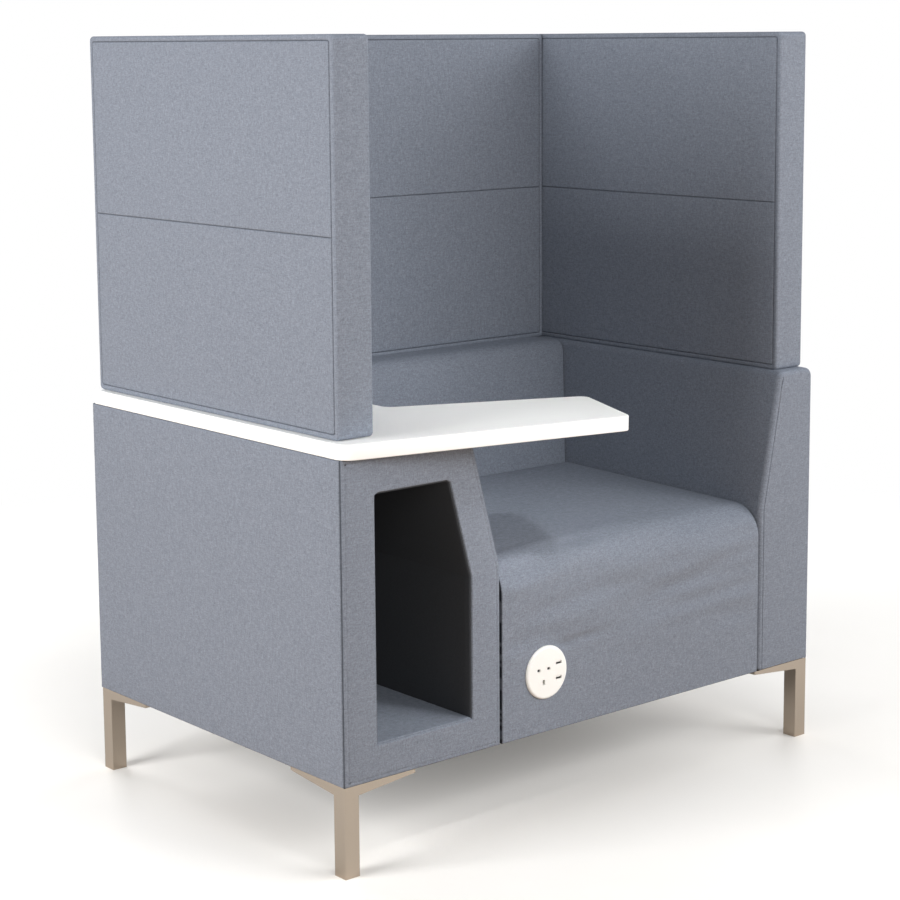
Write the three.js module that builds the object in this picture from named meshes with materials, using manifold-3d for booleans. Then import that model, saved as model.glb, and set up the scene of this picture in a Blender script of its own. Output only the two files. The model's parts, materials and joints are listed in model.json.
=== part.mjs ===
// Acoustic office pod: an upholstered booth for one person, in millimetres, +Z up.
// Seen from the front, x runs from the storage arm on the left to the plain arm on the right,
// y runs from the front face to the back, and z is the height above the floor.

import * as THREE from 'three';
import { mergeVertices } from 'three/addons/utils/BufferGeometryUtils.js';
import Module from 'manifold-3d';

// Clearances
const FIT = 0.3; // between pieces that touch or slide
const SIDE_GAP = 0.5; // between two upholstered boxes that stand side by side
const PAST = 10; // how far a cut runs past the face it opens

// Overall
const POD_WIDTH = 1100;
const POD_DEPTH = 725;
const LEG_HEIGHT = 150; // floor to the underside of the upholstery
const SLOPE_START = 454; // height where the inner sides of both arms start to slope

// Upholstery
const COVER = 2; // fabric with its backing
const WADDING = 6; // thin foam over the arms
const BOARD = 18; // timber board
const SEAM_RADIUS = 6; // sewn edge
const BREAK_RADIUS = 18; // soft bend where a sloping side starts
const ARM_SHOULDER = 16; // rounded outer top edge of the plain arm

// Storage arm, worktop height and niche
const STORAGE_WIDTH = 328;
const STORAGE_TOP_WIDTH = 269;
const WORKTOP_UNDERSIDE = 672;
const WORKTOP_THICKNESS = 25;
const NICHE_SIDE = 70; // outer side to niche
const NICHE_INNER = 65; // seat side to niche
const NICHE_SILL = 60;
const NICHE_HEAD = 62;
const NICHE_DEPTH = 460;
const NICHE_RADIUS = 6;
const LINING = 8;

// Plain arm
const ARM_WIDTH = 140;
const ARM_TOP_WIDTH = 90;
const ARM_ABOVE_WORKTOP = 6; // the arm and the back end this much above the worktop

// Seat
const SEAT_HEIGHT = 460; // at the front corners, before the crown
const SEAT_NOSE = 58; // rolled front edge
const SEAT_CROWN = 9;
const SEAT_RISE = 10; // the top climbs this much from front to back
const SEAT_FOAM = 80;
const SEAT_FRONT_FOAM = 20;
const WEBBING = 3;
const WEBBING_WIDTH = 50;
const WEBS_ACROSS = 4;
const WEBS_ALONG = 5;
const CROWN_STEPS = 12;

// Back
const BACK_DEPTH = 209; // behind the seat, at its widest
const BACK_LEAN = 13.5; // degrees
const BACK_FOAM = 40;
const BACK_CROWN = 6;
const BACK_ROLL = 26; // rolled top front edge
const BACK_BEND = 40; // soft bend above the seat

// Screens
const SCREEN_HEIGHT = 613; // above the plain arm
const SCREEN_THICKNESS = 70;
const SCREEN_SIDE_INSET = 12;
const SCREEN_FRONT_INSET = 18;
const SCREEN_BACK_INSET = 10;
const SCREEN_EDGE = 7; // rounded edge of the cover
const SCREEN_CORE = 18;
const SCREEN_RIM_FOAM = 10; // foam over the rim of the core
const BOLT_END_DISTANCE = 140; // bolt to the end of its screen
const BOLT_RADIUS = 4;
const BOLT_HEAD_RADIUS = 7;
const BOLT_HEAD = 6;
const BOLT_BITE = 40; // length in the core

// Worktop plan
const WORKTOP_OVERHANG = 10; // past the front face at the outer corner
const WORKTOP_SETBACK = 2; // from the edges of the pod
const EDGE_BAND = 2;
const WING_FRONT_ANGLE = 11.9; // degrees that the front edge swings forward
const WING_BACK_ANGLE = 23.5;
const WING_ROOT = 218; // front face to where the wing leaves the arm
const WING_LENGTH = 356; // along its back edge
const CORNER_OUTER = 28;
const CORNER_TIP = 16;
const CORNER_ROOT = 20;
const CORNER_REAR = 14;
const WORKTOP_SCREW_X = 170;
const WORKTOP_SCREW_END = 110; // from the front and back faces
const WORKTOP_SCREW_BITE = 15;

// Legs
const LEG_INSET = 3;
const LEG_BAR = 28;
const LEG_FOOT = 25;
const WING_REACH = 143; // of a leg's wing, from its outer corner
const WING_DROP = 17; // depth of the wing at the bar
const WING_TIP_DROP = 6;
const WING_SEAT = 3.5; // metal above the screw head
const LEG_SCREW_AT = 92; // outer corner of the leg to the screw
const SCREW_RADIUS = 2.5;
const SCREW_HEAD_RADIUS = 4.5;
const SCREW_HEAD = 3;
const SCREW_BITE = 25;
const DUST_COVER = 1;
const DUST_GAP = 3;

// Power module in the seat front
const MODULE_FROM_ARM = 99; // side of the seat to the module's axis
const MODULE_ABOVE = 105; // underside of the seat to the module's axis
const RIM_RADIUS = 46;
const RIM_HEIGHT = 4.4;
const RIM_WIDTH = 3;
const RIM_ROUND = 1.6;
const FLANGE = 1.6;
const NECK_RADIUS = 40;
const NECK_WALL = 1.5;
const CLAMP_RING = 8;
const CLAMP_RING_WIDTH = 8;
const PIN_SPACING = 22.2; // line to neutral, and both to earth
const PIN_LINE_ABOVE = 6.5; // line and neutral above the axis
const LINE_SLOT = { wide: 7.2, high: 4.8 };
const EARTH_SLOT = { wide: 4.8, high: 8.8 };
const SOCKET_TO_SPLIT = 24; // socket's middle to the joint between the two faces
const PORT = { wide: 13.2, high: 5.8, deep: 9 };
const PORT_SPACING = 26;
const PORT_WALL = 0.7;
const PORT_MARGIN = 1.6; // port block to the neck
const SPLIT_MARGIN = 3; // port block to the joint between the two faces
const SHUTTER = 2;
const SHUTTER_TRAVEL = 6;
const SHUTTER_LAP = 1; // past the slots all round
const SHUTTER_STEM = 8;
const SPRING_RADIUS = 1.5;
const SPRING_WIRE = 0.5;
const SPRING_LENGTH = 11;
const SPRING_TURNS = 6;
const CONTACT_DEPTH = 14;
const CONTACT_WALL = 0.8;
const CONTACT_GRIP = { wide: 6, gap: 4 };
const BASE_WALL = 4; // behind the contacts
const CHARGER_BOARD = 1.6;
const REAR_CAP = 5;
const INLET_RADIUS = 6;
const INLET_BORE = 3.5;
const INLET_FLANGE = 3;
const INLET_LENGTH = 14;

// Facets
const CORNER_STEPS = 3;
const EDGE_STEPS = 2;
const ROUND_STEPS = 40;
const SMALL_ROUND_STEPS = 12;
const SHARP = 0.4; // a smaller radius is drawn as a corner

const wasm = await Module();
wasm.setup();

// Finishes
const finish = (color, roughness, metalness = 0) =>
  new THREE.MeshStandardMaterial({ color, roughness, metalness });
const fabric = finish('#868d98', 0.95);
const foam = finish('#d9d3bd', 0.9);
const timber = finish('#c7a678', 0.75);
const laminate = finish('#f3f3f1', 0.35);
const chrome = finish('#cfcfd0', 0.12, 1);
const zinc = finish('#b4b8bb', 0.4, 1);
const brass = finish('#b8933a', 0.35, 1);
const whitePlastic = finish('#f5f5f3', 0.4);
const blackPlastic = finish('#1c1c1d', 0.6);
const boardGreen = finish('#2f6b45', 0.5);
const blackCloth = finish('#232325', 0.95);

const pod = new THREE.Group();
const placed = new THREE.Group();
placed.add(pod);

// A closed solid from a three.js geometry
function solid(geometry) {
  const bare = geometry.index ? geometry.toNonIndexed() : geometry.clone();
  bare.deleteAttribute('normal');
  bare.deleteAttribute('uv');
  const merged = mergeVertices(bare, 1e-4);
  const corners = merged.index.array;
  const triangles = [];
  for (let i = 0; i < corners.length; i += 3) {
    const [a, b, c] = [corners[i], corners[i + 1], corners[i + 2]];
    if (a !== b && b !== c && c !== a) triangles.push(a, b, c);
  }
  return new wasm.Manifold(
    new wasm.Mesh({
      numProp: 3,
      vertProperties: merged.attributes.position.array,
      triVerts: new Uint32Array(triangles),
    }),
  );
}

// Adds one named piece to the pod
function add(name, shape, material, at = [0, 0, 0], turn = 0) {
  const mesh = shape.getMesh();
  const geometry = new THREE.BufferGeometry();
  geometry.setAttribute('position', new THREE.BufferAttribute(mesh.vertProperties, 3));
  geometry.setIndex(new THREE.BufferAttribute(mesh.triVerts, 1));
  geometry.computeVertexNormals();
  const piece = new THREE.Mesh(geometry, material);
  piece.name = name;
  piece.position.set(...at);
  piece.rotation.z = turn;
  pod.add(piece);
}

// A corner of an outline, with its radius
const corner = (x, y, r = 0) => ({ x, y, r });

// Moves each edge of an anticlockwise outline inwards by its own distance
function inset(outline, distances) {
  const count = outline.length;
  const edges = outline.map((a, i) => {
    const b = outline[(i + 1) % count];
    const along = new THREE.Vector2(b.x - a.x, b.y - a.y).normalize();
    const distance = Array.isArray(distances) ? distances[i] : distances;
    const start = new THREE.Vector2(a.x - along.y * distance, a.y + along.x * distance);
    return { along, distance, start };
  });
  return outline.map((was, i) => {
    const before = edges[(i + count - 1) % count];
    const after = edges[i];
    const turn = before.along.cross(after.along);
    const reach = after.start.clone().sub(before.start).cross(after.along) / turn;
    const at = before.start.clone().addScaledVector(before.along, reach);
    const shrink = Math.sign(turn) * Math.max(before.distance, after.distance);
    return corner(at.x, at.y, was.r > 0 ? Math.max(0, was.r - shrink) : 0);
  });
}

// The same outline with one radius at every corner
const withRadius = (outline, r) => outline.map(({ x, y }) => corner(x, y, r));

// Points round an outline, with an arc at each corner that has a radius
function rounded(outline) {
  const count = outline.length;
  return outline.flatMap((at, i) => {
    const here = new THREE.Vector2(at.x, at.y);
    if (at.r < SHARP) return [here];
    const before = outline[(i + count - 1) % count];
    const after = outline[(i + 1) % count];
    const into = here.clone().sub(before).normalize();
    const out = new THREE.Vector2(after.x, after.y).sub(here).normalize();
    const turn = Math.atan2(into.cross(out), into.dot(out));
    const side = Math.sign(turn);
    const first = here.clone().addScaledVector(into, -at.r * Math.abs(Math.tan(turn / 2)));
    const centre = new THREE.Vector2(first.x - into.y * at.r * side, first.y + into.x * at.r * side);
    const spoke = first.sub(centre);
    return Array.from({ length: CORNER_STEPS + 1 }, (_, k) =>
      spoke.clone().rotateAround(new THREE.Vector2(), (turn * k) / CORNER_STEPS).add(centre),
    );
  });
}

// Where the drawing plane of an outline lies: its two directions, then the way that it is extruded
const X = new THREE.Vector3(1, 0, 0);
const Y = new THREE.Vector3(0, 1, 0);
const Z = new THREE.Vector3(0, 0, 1);
const PLANES = {
  xy: new THREE.Matrix4().makeBasis(X, Y, Z),
  yz: new THREE.Matrix4().makeBasis(Y, Z, X),
  xz: new THREE.Matrix4().makeBasis(X, Z, Y.clone().negate()),
};

// Extrudes points drawn in a plane from one place to another, with rounded end edges
function prismGeometry(plane, points, from, to, { edge = 0, steps = 1 } = {}) {
  const bevel = edge > SHARP ? edge : 0;
  const geometry = new THREE.ExtrudeGeometry(new THREE.Shape(points), {
    depth: to - from - 2 * bevel,
    steps,
    bevelEnabled: bevel > 0,
    bevelThickness: bevel,
    bevelSize: bevel,
    bevelOffset: -bevel,
    bevelSegments: EDGE_STEPS,
  });
  geometry.translate(0, 0, (plane === 'xz' ? -to : from) + bevel);
  return geometry.applyMatrix4(PLANES[plane]);
}

const prism = (plane, outline, from, to, options) =>
  solid(prismGeometry(plane, rounded(outline), from, to, options));

const rectangle = (x0, x1, y0, y1, r = 0) =>
  [corner(x0, y0, r), corner(x1, y0, r), corner(x1, y1, r), corner(x0, y1, r)];

const box = (x0, x1, y0, y1, z0, z1) => prism('xy', rectangle(x0, x1, y0, y1), z0, z1);

// A turned solid about an upright axis, from points given as radius and height
function turned(points, steps) {
  const profile = points.map(([r, h]) => new THREE.Vector2(r, h));
  const geometry = new THREE.LatheGeometry(profile, steps);
  return solid(geometry.rotateX(Math.PI / 2));
}

// The same about an axis that runs from front to back, from radius and depth
function turnedInward(points, steps) {
  const profile = points.map(([r, depth]) => new THREE.Vector2(r, depth));
  return solid(new THREE.LatheGeometry(profile, steps));
}

// A plain round bar, upright or from front to back
const upright = (r, x, y, z0, z1) =>
  turned([[0, z1], [r, z1], [r, z0], [0, z0]].reverse(), SMALL_ROUND_STEPS).translate([x, y, 0]);
const inward = (r, x, z, y0, y1, steps = ROUND_STEPS) =>
  turnedInward([[0, y0], [r, y0], [r, y1], [0, y1]], steps).translate([x, 0, z]);

// A headed screw or bolt that stands on its head
function fastener(headRadius, head, radius, length) {
  const points = [[0, 0], [headRadius, 0], [headRadius, head], [radius, head]];
  points.push([radius, head + length - radius], [0, head + length]);
  return turned(points, SMALL_ROUND_STEPS);
}

// Layers of the upholstery, measured inwards from the outside
const AT_FOAM = COVER + FIT;
const AT_FRAME = AT_FOAM + WADDING + FIT;
const sewn = (depth) => Math.max(SEAM_RADIUS - depth, 0);
const SOFT = SEAM_RADIUS + 1;

// Shared places
const WORKTOP_TOP = WORKTOP_UNDERSIDE + WORKTOP_THICKNESS;
const ARM_TOP = WORKTOP_TOP + ARM_ABOVE_WORKTOP;
const SCREEN_TOP = ARM_TOP + SCREEN_HEIGHT;
const SEAT_DEPTH = POD_DEPTH - BACK_DEPTH;
const SEAT_LEFT = STORAGE_WIDTH + SIDE_GAP;
const SEAT_RIGHT = POD_WIDTH - ARM_WIDTH - SIDE_GAP;
const SEAT_REAR = SEAT_DEPTH - SIDE_GAP;
const STORAGE_TOP = WORKTOP_UNDERSIDE - FIT;
const BOARD_MIDDLE = AT_FRAME + BOARD / 2;
const LEG_SCREW_PLACES = [LEG_INSET + LEG_SCREW_AT, BOARD_MIDDLE];
const SCREW_HOLE = SCREW_RADIUS + FIT;
const BOLT_HOLE = BOLT_RADIUS + FIT;

// Screens stand on the worktop, the plain arm and the back, and their bolts go through
const screens = [];
function planScreen(name, plane, start, end, outside, bottom) {
  const middle = outside + SCREEN_THICKNESS / 2;
  const bolts = [start + BOLT_END_DISTANCE, end - BOLT_END_DISTANCE].map((along) =>
    plane === 'yz' ? [middle, along] : [along, middle],
  );
  const screen = { name, plane, start, end, outside, bottom, middle, bolts };
  screens.push(screen);
  return screen;
}
const SCREEN_REAR = POD_DEPTH - SCREEN_BACK_INSET;
const RIGHT_OUTSIDE = POD_WIDTH - SCREEN_SIDE_INSET - SCREEN_THICKNESS;
const leftScreen = planScreen(
  'left_screen', 'yz', SCREEN_FRONT_INSET, SCREEN_REAR, SCREEN_SIDE_INSET, WORKTOP_TOP + FIT,
);
const rightScreen = planScreen(
  'right_screen', 'yz', SCREEN_FRONT_INSET, SCREEN_REAR, RIGHT_OUTSIDE, ARM_TOP + FIT,
);
const backScreen = planScreen(
  'back_screen', 'xz', STORAGE_TOP_WIDTH + SIDE_GAP, RIGHT_OUTSIDE - SIDE_GAP,
  SCREEN_REAR - SCREEN_THICKNESS, ARM_TOP + FIT,
);
backScreen.start = SCREEN_SIDE_INSET + SCREEN_THICKNESS + SIDE_GAP;

// Holes for a screen's bolts between two heights
const boltHoles = (screen, z0, z1) =>
  screen.bolts.map(([x, y]) => upright(BOLT_HOLE, x, y, z0, z1));
const without = (shape, cuts) => cuts.reduce((left, cut) => left.subtract(cut), shape);

// Screw holes in the underside of an arm's timber, two for each leg
const legCorners = [
  { name: 'front_left', x: 0, y: 0, turn: 0 },
  { name: 'front_right', x: POD_WIDTH, y: 0, turn: Math.PI / 2 },
  { name: 'back_right', x: POD_WIDTH, y: POD_DEPTH, turn: Math.PI },
  { name: 'back_left', x: 0, y: POD_DEPTH, turn: -Math.PI / 2 },
];
const legScrews = legCorners.flatMap(({ name, x, y }) => {
  const [far, near] = LEG_SCREW_PLACES;
  const across = x === 0 ? 1 : -1;
  const along = y === 0 ? 1 : -1;
  return [
    { name: `${name}_leg_screw_1`, x: x + across * far, y: y + along * near },
    { name: `${name}_leg_screw_2`, x: x + across * near, y: y + along * far },
  ];
});
const legScrewHoles = legScrews.map(({ x, y }) =>
  upright(SCREW_HOLE, x, y, LEG_HEIGHT - PAST, LEG_HEIGHT + SCREW_BITE + FIT),
);

// Storage arm
const storageOutline = [
  corner(0, LEG_HEIGHT, SOFT),
  corner(STORAGE_WIDTH, LEG_HEIGHT, SOFT),
  corner(STORAGE_WIDTH, SLOPE_START, BREAK_RADIUS),
  corner(STORAGE_TOP_WIDTH, STORAGE_TOP, SOFT),
  corner(0, STORAGE_TOP, SOFT),
];
const storageBlock = (depth, bottom = 0, top = 0) =>
  prism('xz', inset(storageOutline, [bottom, depth, depth, top, depth]), depth, POD_DEPTH - depth, {
    edge: sewn(depth),
  });
const nicheOutline = withRadius(
  inset(storageOutline, [NICHE_SILL, NICHE_INNER, NICHE_INNER, NICHE_HEAD, NICHE_SIDE]),
  NICHE_RADIUS,
);
const niche = (grow, from, to) => prism('xz', inset(nicheOutline, -grow), from, to);
const LINING_HOLE = LINING + FIT;
const LINING_BACK = AT_FOAM + NICHE_DEPTH;

const worktopScrews = [WORKTOP_SCREW_END, POD_DEPTH - WORKTOP_SCREW_END].map((y) => [WORKTOP_SCREW_X, y]);
const worktopScrewHoles = worktopScrews.map(([x, y]) =>
  upright(SCREW_HOLE, x, y, STORAGE_TOP - BOARD - PAST, WORKTOP_UNDERSIDE + WORKTOP_SCREW_BITE + FIT),
);

const storageCover = storageBlock(0)
  .subtract(storageBlock(COVER, -PAST, -PAST))
  .subtract(niche(0, -PAST, AT_FOAM));
const storageWadding = storageBlock(AT_FOAM)
  .subtract(storageBlock(AT_FOAM + WADDING, -PAST, -PAST))
  .subtract(niche(LINING_HOLE, -PAST, AT_FRAME));
const storageCarcass = without(
  storageBlock(AT_FRAME)
    .subtract(storageBlock(AT_FRAME + BOARD, BOARD, BOARD))
    .subtract(niche(LINING_HOLE, -PAST, AT_FRAME + BOARD + PAST)),
  [...legScrewHoles, ...worktopScrewHoles, ...boltHoles(leftScreen, STORAGE_TOP - BOARD - PAST, WORKTOP_TOP)],
);
add('storage_cover', storageCover, fabric);
add('storage_wadding', storageWadding, foam);
add('storage_carcass', storageCarcass, timber);
add(
  'niche_lining',
  niche(LINING, AT_FOAM, LINING_BACK + LINING).subtract(niche(0, -PAST, LINING_BACK)),
  fabric,
);

// Plain arm
const armOutline = [
  corner(POD_WIDTH - ARM_WIDTH, LEG_HEIGHT, SOFT),
  corner(POD_WIDTH, LEG_HEIGHT, SOFT),
  corner(POD_WIDTH, ARM_TOP, ARM_SHOULDER),
  corner(POD_WIDTH - ARM_TOP_WIDTH, ARM_TOP, SOFT),
  corner(POD_WIDTH - ARM_WIDTH, SLOPE_START, BREAK_RADIUS),
];
const armBlock = (depth, bottom = 0) =>
  prism('xz', inset(armOutline, [bottom, depth, depth, depth, depth]), depth, POD_DEPTH - depth, {
    edge: sewn(depth),
  });
const armBoltHoles = boltHoles(rightScreen, ARM_TOP - AT_FRAME - BOARD - PAST, ARM_TOP + PAST);
add('right_arm_cover', without(armBlock(0).subtract(armBlock(COVER, -PAST)), armBoltHoles), fabric);
add(
  'right_arm_wadding',
  without(armBlock(AT_FOAM).subtract(armBlock(AT_FOAM + WADDING, -PAST)), armBoltHoles),
  foam,
);
add(
  'right_arm_frame',
  without(armBlock(AT_FRAME).subtract(armBlock(AT_FRAME + BOARD, -PAST)), [...legScrewHoles, ...armBoltHoles]),
  timber,
);

// Seat: the top is crowned from side to side and climbs towards the back
const SEAT_MIDDLE = (SEAT_LEFT + SEAT_RIGHT) / 2;
const SEAT_HALF = (SEAT_RIGHT - SEAT_LEFT) / 2;
function crownSeat(geometry) {
  const place = geometry.attributes.position;
  const start = (LEG_HEIGHT + SEAT_HEIGHT) / 2;
  for (let i = 0; i < place.count; i += 1) {
    const across = (place.getX(i) - SEAT_MIDDLE) / SEAT_HALF;
    const back = place.getY(i) / SEAT_REAR;
    const share = THREE.MathUtils.clamp((place.getZ(i) - start) / (SEAT_HEIGHT - start), 0, 1);
    const lift = SEAT_CROWN * (1 - across ** 2) + SEAT_RISE * back;
    place.setZ(i, place.getZ(i) + lift * share);
  }
  return geometry;
}
const seatOutline = [
  corner(0, LEG_HEIGHT, SOFT),
  corner(SEAT_REAR, LEG_HEIGHT, SOFT),
  corner(SEAT_REAR, SEAT_HEIGHT, SOFT),
  corner(0, SEAT_HEIGHT, SEAT_NOSE),
];
function seatBlock(depth, bottom = 0) {
  const points = rounded(inset(seatOutline, [bottom, depth, depth, depth]));
  const options = { edge: sewn(depth), steps: CROWN_STEPS };
  return solid(crownSeat(prismGeometry('yz', points, SEAT_LEFT + depth, SEAT_RIGHT - depth, options)));
}
const seatFrame = {
  left: SEAT_LEFT + AT_FRAME,
  right: SEAT_RIGHT - AT_FRAME,
  front: AT_FOAM + SEAT_FRONT_FOAM + FIT,
  rear: SEAT_REAR - AT_FRAME,
  top: SEAT_HEIGHT - COVER - SEAT_FOAM - WEBBING - 3 * FIT,
};
const seatTimber = (grow, z0, z1) =>
  box(
    seatFrame.left - grow, seatFrame.right + grow, seatFrame.front - grow, seatFrame.rear + grow, z0, z1,
  );

const MODULE_X = SEAT_LEFT + MODULE_FROM_ARM;
const MODULE_Z = LEG_HEIGHT + MODULE_ABOVE;
const moduleHole = inward(NECK_RADIUS + FIT, MODULE_X, MODULE_Z, -PAST, seatFrame.front + BOARD + PAST);
const webbingBase = seatFrame.top + FIT;
const webbingTop = webbingBase + WEBBING;
const foamHollow = seatTimber(FIT, LEG_HEIGHT - PAST, webbingTop + FIT);
const seatCover = seatBlock(0).subtract(seatBlock(COVER, -PAST)).subtract(moduleHole);
const seatFoam = seatBlock(AT_FOAM).subtract(foamHollow).subtract(moduleHole);
add('seat_cover', seatCover, fabric);
add('seat_foam', seatFoam, foam);
add(
  'seat_frame',
  seatTimber(0, LEG_HEIGHT, seatFrame.top)
    .subtract(seatTimber(-BOARD, LEG_HEIGHT - PAST, seatFrame.top + PAST))
    .subtract(moduleHole),
  timber,
);

// Elastic webbing over the seat frame, sewn into one net
const spread = (from, to, count) =>
  Array.from({ length: count }, (_, i) => from + ((i + 0.5) * (to - from)) / count);
const half = WEBBING_WIDTH / 2;
const websAcross = spread(seatFrame.front, seatFrame.rear, WEBS_ACROSS).map((y) =>
  box(seatFrame.left, seatFrame.right, y - half, y + half, webbingBase, webbingTop),
);
const websAlong = spread(seatFrame.left, seatFrame.right, WEBS_ALONG).map((x) =>
  box(x - half, x + half, seatFrame.front, seatFrame.rear, webbingBase, webbingTop),
);
add('seat_webbing', [...websAcross, ...websAlong].reduce((net, web) => net.add(web)), blackCloth);

// Back: fills the space between the arms and leans away from the seat
const BACK_TOP_FRONT = SEAT_DEPTH + (ARM_TOP - SEAT_HEIGHT) * Math.tan(THREE.MathUtils.degToRad(BACK_LEAN));
const backProfile = [
  corner(SEAT_DEPTH, LEG_HEIGHT, SOFT),
  corner(POD_DEPTH, LEG_HEIGHT, SOFT),
  corner(POD_DEPTH, ARM_TOP, SOFT),
  corner(BACK_TOP_FRONT, ARM_TOP, BACK_ROLL),
  corner(SEAT_DEPTH, SEAT_HEIGHT, BACK_BEND),
];
const BACK_TOP_LEFT = STORAGE_TOP_WIDTH + SIDE_GAP;
const BACK_TOP_RIGHT = POD_WIDTH - ARM_TOP_WIDTH - SIDE_GAP;
const backFoot = [
  corner(SEAT_LEFT, LEG_HEIGHT),
  corner(SEAT_RIGHT, LEG_HEIGHT),
  corner(SEAT_RIGHT, SLOPE_START),
  corner(BACK_TOP_RIGHT, ARM_TOP),
  corner(BACK_TOP_LEFT, ARM_TOP),
];
const backShoulder = corner(SEAT_LEFT, SLOPE_START);
const backFace = [...backFoot, corner(BACK_TOP_LEFT, STORAGE_TOP), backShoulder];
const timberFace = [...backFoot, backShoulder];
const BACK_MIDDLE = (BACK_TOP_LEFT + BACK_TOP_RIGHT) / 2;
const BACK_HALF = (BACK_TOP_RIGHT - BACK_TOP_LEFT) / 2;
function crownBack(geometry) {
  const place = geometry.attributes.position;
  for (let i = 0; i < place.count; i += 1) {
    const across = THREE.MathUtils.clamp((place.getX(i) - BACK_MIDDLE) / BACK_HALF, -1, 1);
    const nearFront = THREE.MathUtils.clamp((POD_DEPTH - place.getY(i)) / (POD_DEPTH - BACK_TOP_FRONT), 0, 1);
    const high = THREE.MathUtils.clamp((place.getZ(i) - SEAT_HEIGHT) / (ARM_TOP - SEAT_HEIGHT), 0, 1);
    const swell = BACK_CROWN * (1 - across ** 2) * nearFront * Math.sin(Math.PI * high);
    place.setY(i, place.getY(i) - swell);
  }
  return geometry;
}
function backBlock(outline, [rear, top, front], sides, bottom = 0) {
  const points = rounded(inset(backProfile, [bottom, rear, top, front, front]));
  const along = crownBack(prismGeometry('yz', points, 0, POD_WIDTH, { steps: CROWN_STEPS }));
  const distances = outline.map((_, i) => [bottom, sides, sides, top][i] ?? sides);
  return solid(along).intersect(prism('xz', inset(outline, distances), 0, POD_DEPTH + PAST));
}
const backLayer = (depth, bottom) => backBlock(backFace, [depth, depth, depth], depth, bottom);
function backTimber(depth, bottom) {
  const behind = AT_FRAME + depth;
  return backBlock(timberFace, [behind, behind, AT_FOAM + BACK_FOAM + FIT + depth], behind, bottom);
}
const backBoltHoles = boltHoles(backScreen, ARM_TOP - AT_FRAME - BOARD - PAST, ARM_TOP + PAST);
add('back_cover', without(backLayer(0).subtract(backLayer(COVER, -PAST)), backBoltHoles), fabric);
add('back_foam', without(backLayer(AT_FOAM).subtract(backTimber(-FIT, -PAST)), backBoltHoles), foam);
add('back_frame', without(backTimber(0).subtract(backTimber(BOARD, -PAST)), backBoltHoles), timber);

// Screens: a board core in a foam wrap and a sewn cover, open underneath
for (const { name, plane, start, end, outside, bottom, middle, bolts } of screens) {
  const outline = rectangle(start, end, bottom, SCREEN_TOP, SCREEN_EDGE + 1);
  const layer = (depth, below = 0) =>
    prism(plane, inset(outline, [below, depth, depth, depth]), outside + depth, outside + SCREEN_THICKNESS - depth, {
      edge: Math.max(SCREEN_EDGE - depth, 0),
    });
  const rim = AT_FOAM + SCREEN_RIM_FOAM + FIT;
  const core = (grow, below) =>
    prism(
      plane,
      inset(withRadius(outline, 0), [below, rim - grow, rim - grow, rim - grow]),
      middle - SCREEN_CORE / 2 - grow,
      middle + SCREEN_CORE / 2 + grow,
    );
  const drilled = bolts.map(([x, y]) => upright(BOLT_HOLE, x, y, bottom - PAST, bottom + BOLT_BITE + FIT));
  add(`${name}_cover`, layer(0).subtract(layer(COVER, -PAST)), fabric);
  add(`${name}_foam`, layer(AT_FOAM).subtract(core(FIT, -PAST)), foam);
  add(`${name}_core`, without(core(0, 0), drilled), timber);
}

// Bolts from under the top boards into the screens
function addBolts(screen, underBoard) {
  const head = underBoard - FIT - BOLT_HEAD;
  const length = screen.bottom + BOLT_BITE - underBoard;
  screen.bolts.forEach(([x, y], i) => {
    const bolt = fastener(BOLT_HEAD_RADIUS, BOLT_HEAD, BOLT_RADIUS, length);
    add(`${screen.name}_bolt_${i + 1}`, bolt, zinc, [x, y, head]);
  });
}
addBolts(leftScreen, STORAGE_TOP - BOARD);
addBolts(rightScreen, ARM_TOP - AT_FRAME - BOARD);
addBolts(backScreen, ARM_TOP - AT_FRAME - BOARD);

// Worktop: a strip over the storage arm and a wing that swings forward over the seat
const stripEdge = STORAGE_TOP_WIDTH - WORKTOP_SETBACK;
const frontSlope = Math.tan(THREE.MathUtils.degToRad(WING_FRONT_ANGLE));
const wingTurn = THREE.MathUtils.degToRad(WING_BACK_ANGLE);
const wingRoot = new THREE.Vector2(stripEdge, WING_ROOT);
const wingTip = wingRoot.clone().add(new THREE.Vector2(WING_LENGTH, 0).rotateAround(new THREE.Vector2(), -wingTurn));
// The end is square to the back edge, and meets the front edge here
const endRun = (wingTip.y + WORKTOP_OVERHANG + frontSlope * wingTip.x)
  / (Math.cos(wingTurn) + frontSlope * Math.sin(wingTurn));
const wingFront = wingTip.clone().add(new THREE.Vector2(0, -endRun).rotateAround(new THREE.Vector2(), -wingTurn));
const worktopRear = POD_DEPTH - WORKTOP_SETBACK;
const worktopOutline = [
  corner(0, -WORKTOP_OVERHANG, CORNER_OUTER),
  corner(wingFront.x, wingFront.y, CORNER_TIP),
  corner(wingTip.x, wingTip.y, CORNER_TIP),
  corner(wingRoot.x, wingRoot.y, CORNER_ROOT),
  corner(stripEdge, worktopRear, EDGE_BAND * 2),
  corner(0, worktopRear, CORNER_REAR),
];
const worktop = (depth, z0, z1) => prism('xy', inset(worktopOutline, depth), z0, z1);
add(
  'worktop_board',
  without(worktop(EDGE_BAND + FIT, WORKTOP_UNDERSIDE, WORKTOP_TOP), [
    ...worktopScrewHoles,
    ...boltHoles(leftScreen, WORKTOP_UNDERSIDE - PAST, WORKTOP_TOP + PAST),
  ]),
  laminate,
);
add(
  'worktop_edging',
  worktop(0, WORKTOP_UNDERSIDE, WORKTOP_TOP)
    .subtract(worktop(EDGE_BAND, WORKTOP_UNDERSIDE - PAST, WORKTOP_TOP + PAST)),
  laminate,
);
const topBoardUnderside = STORAGE_TOP - BOARD;
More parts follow.
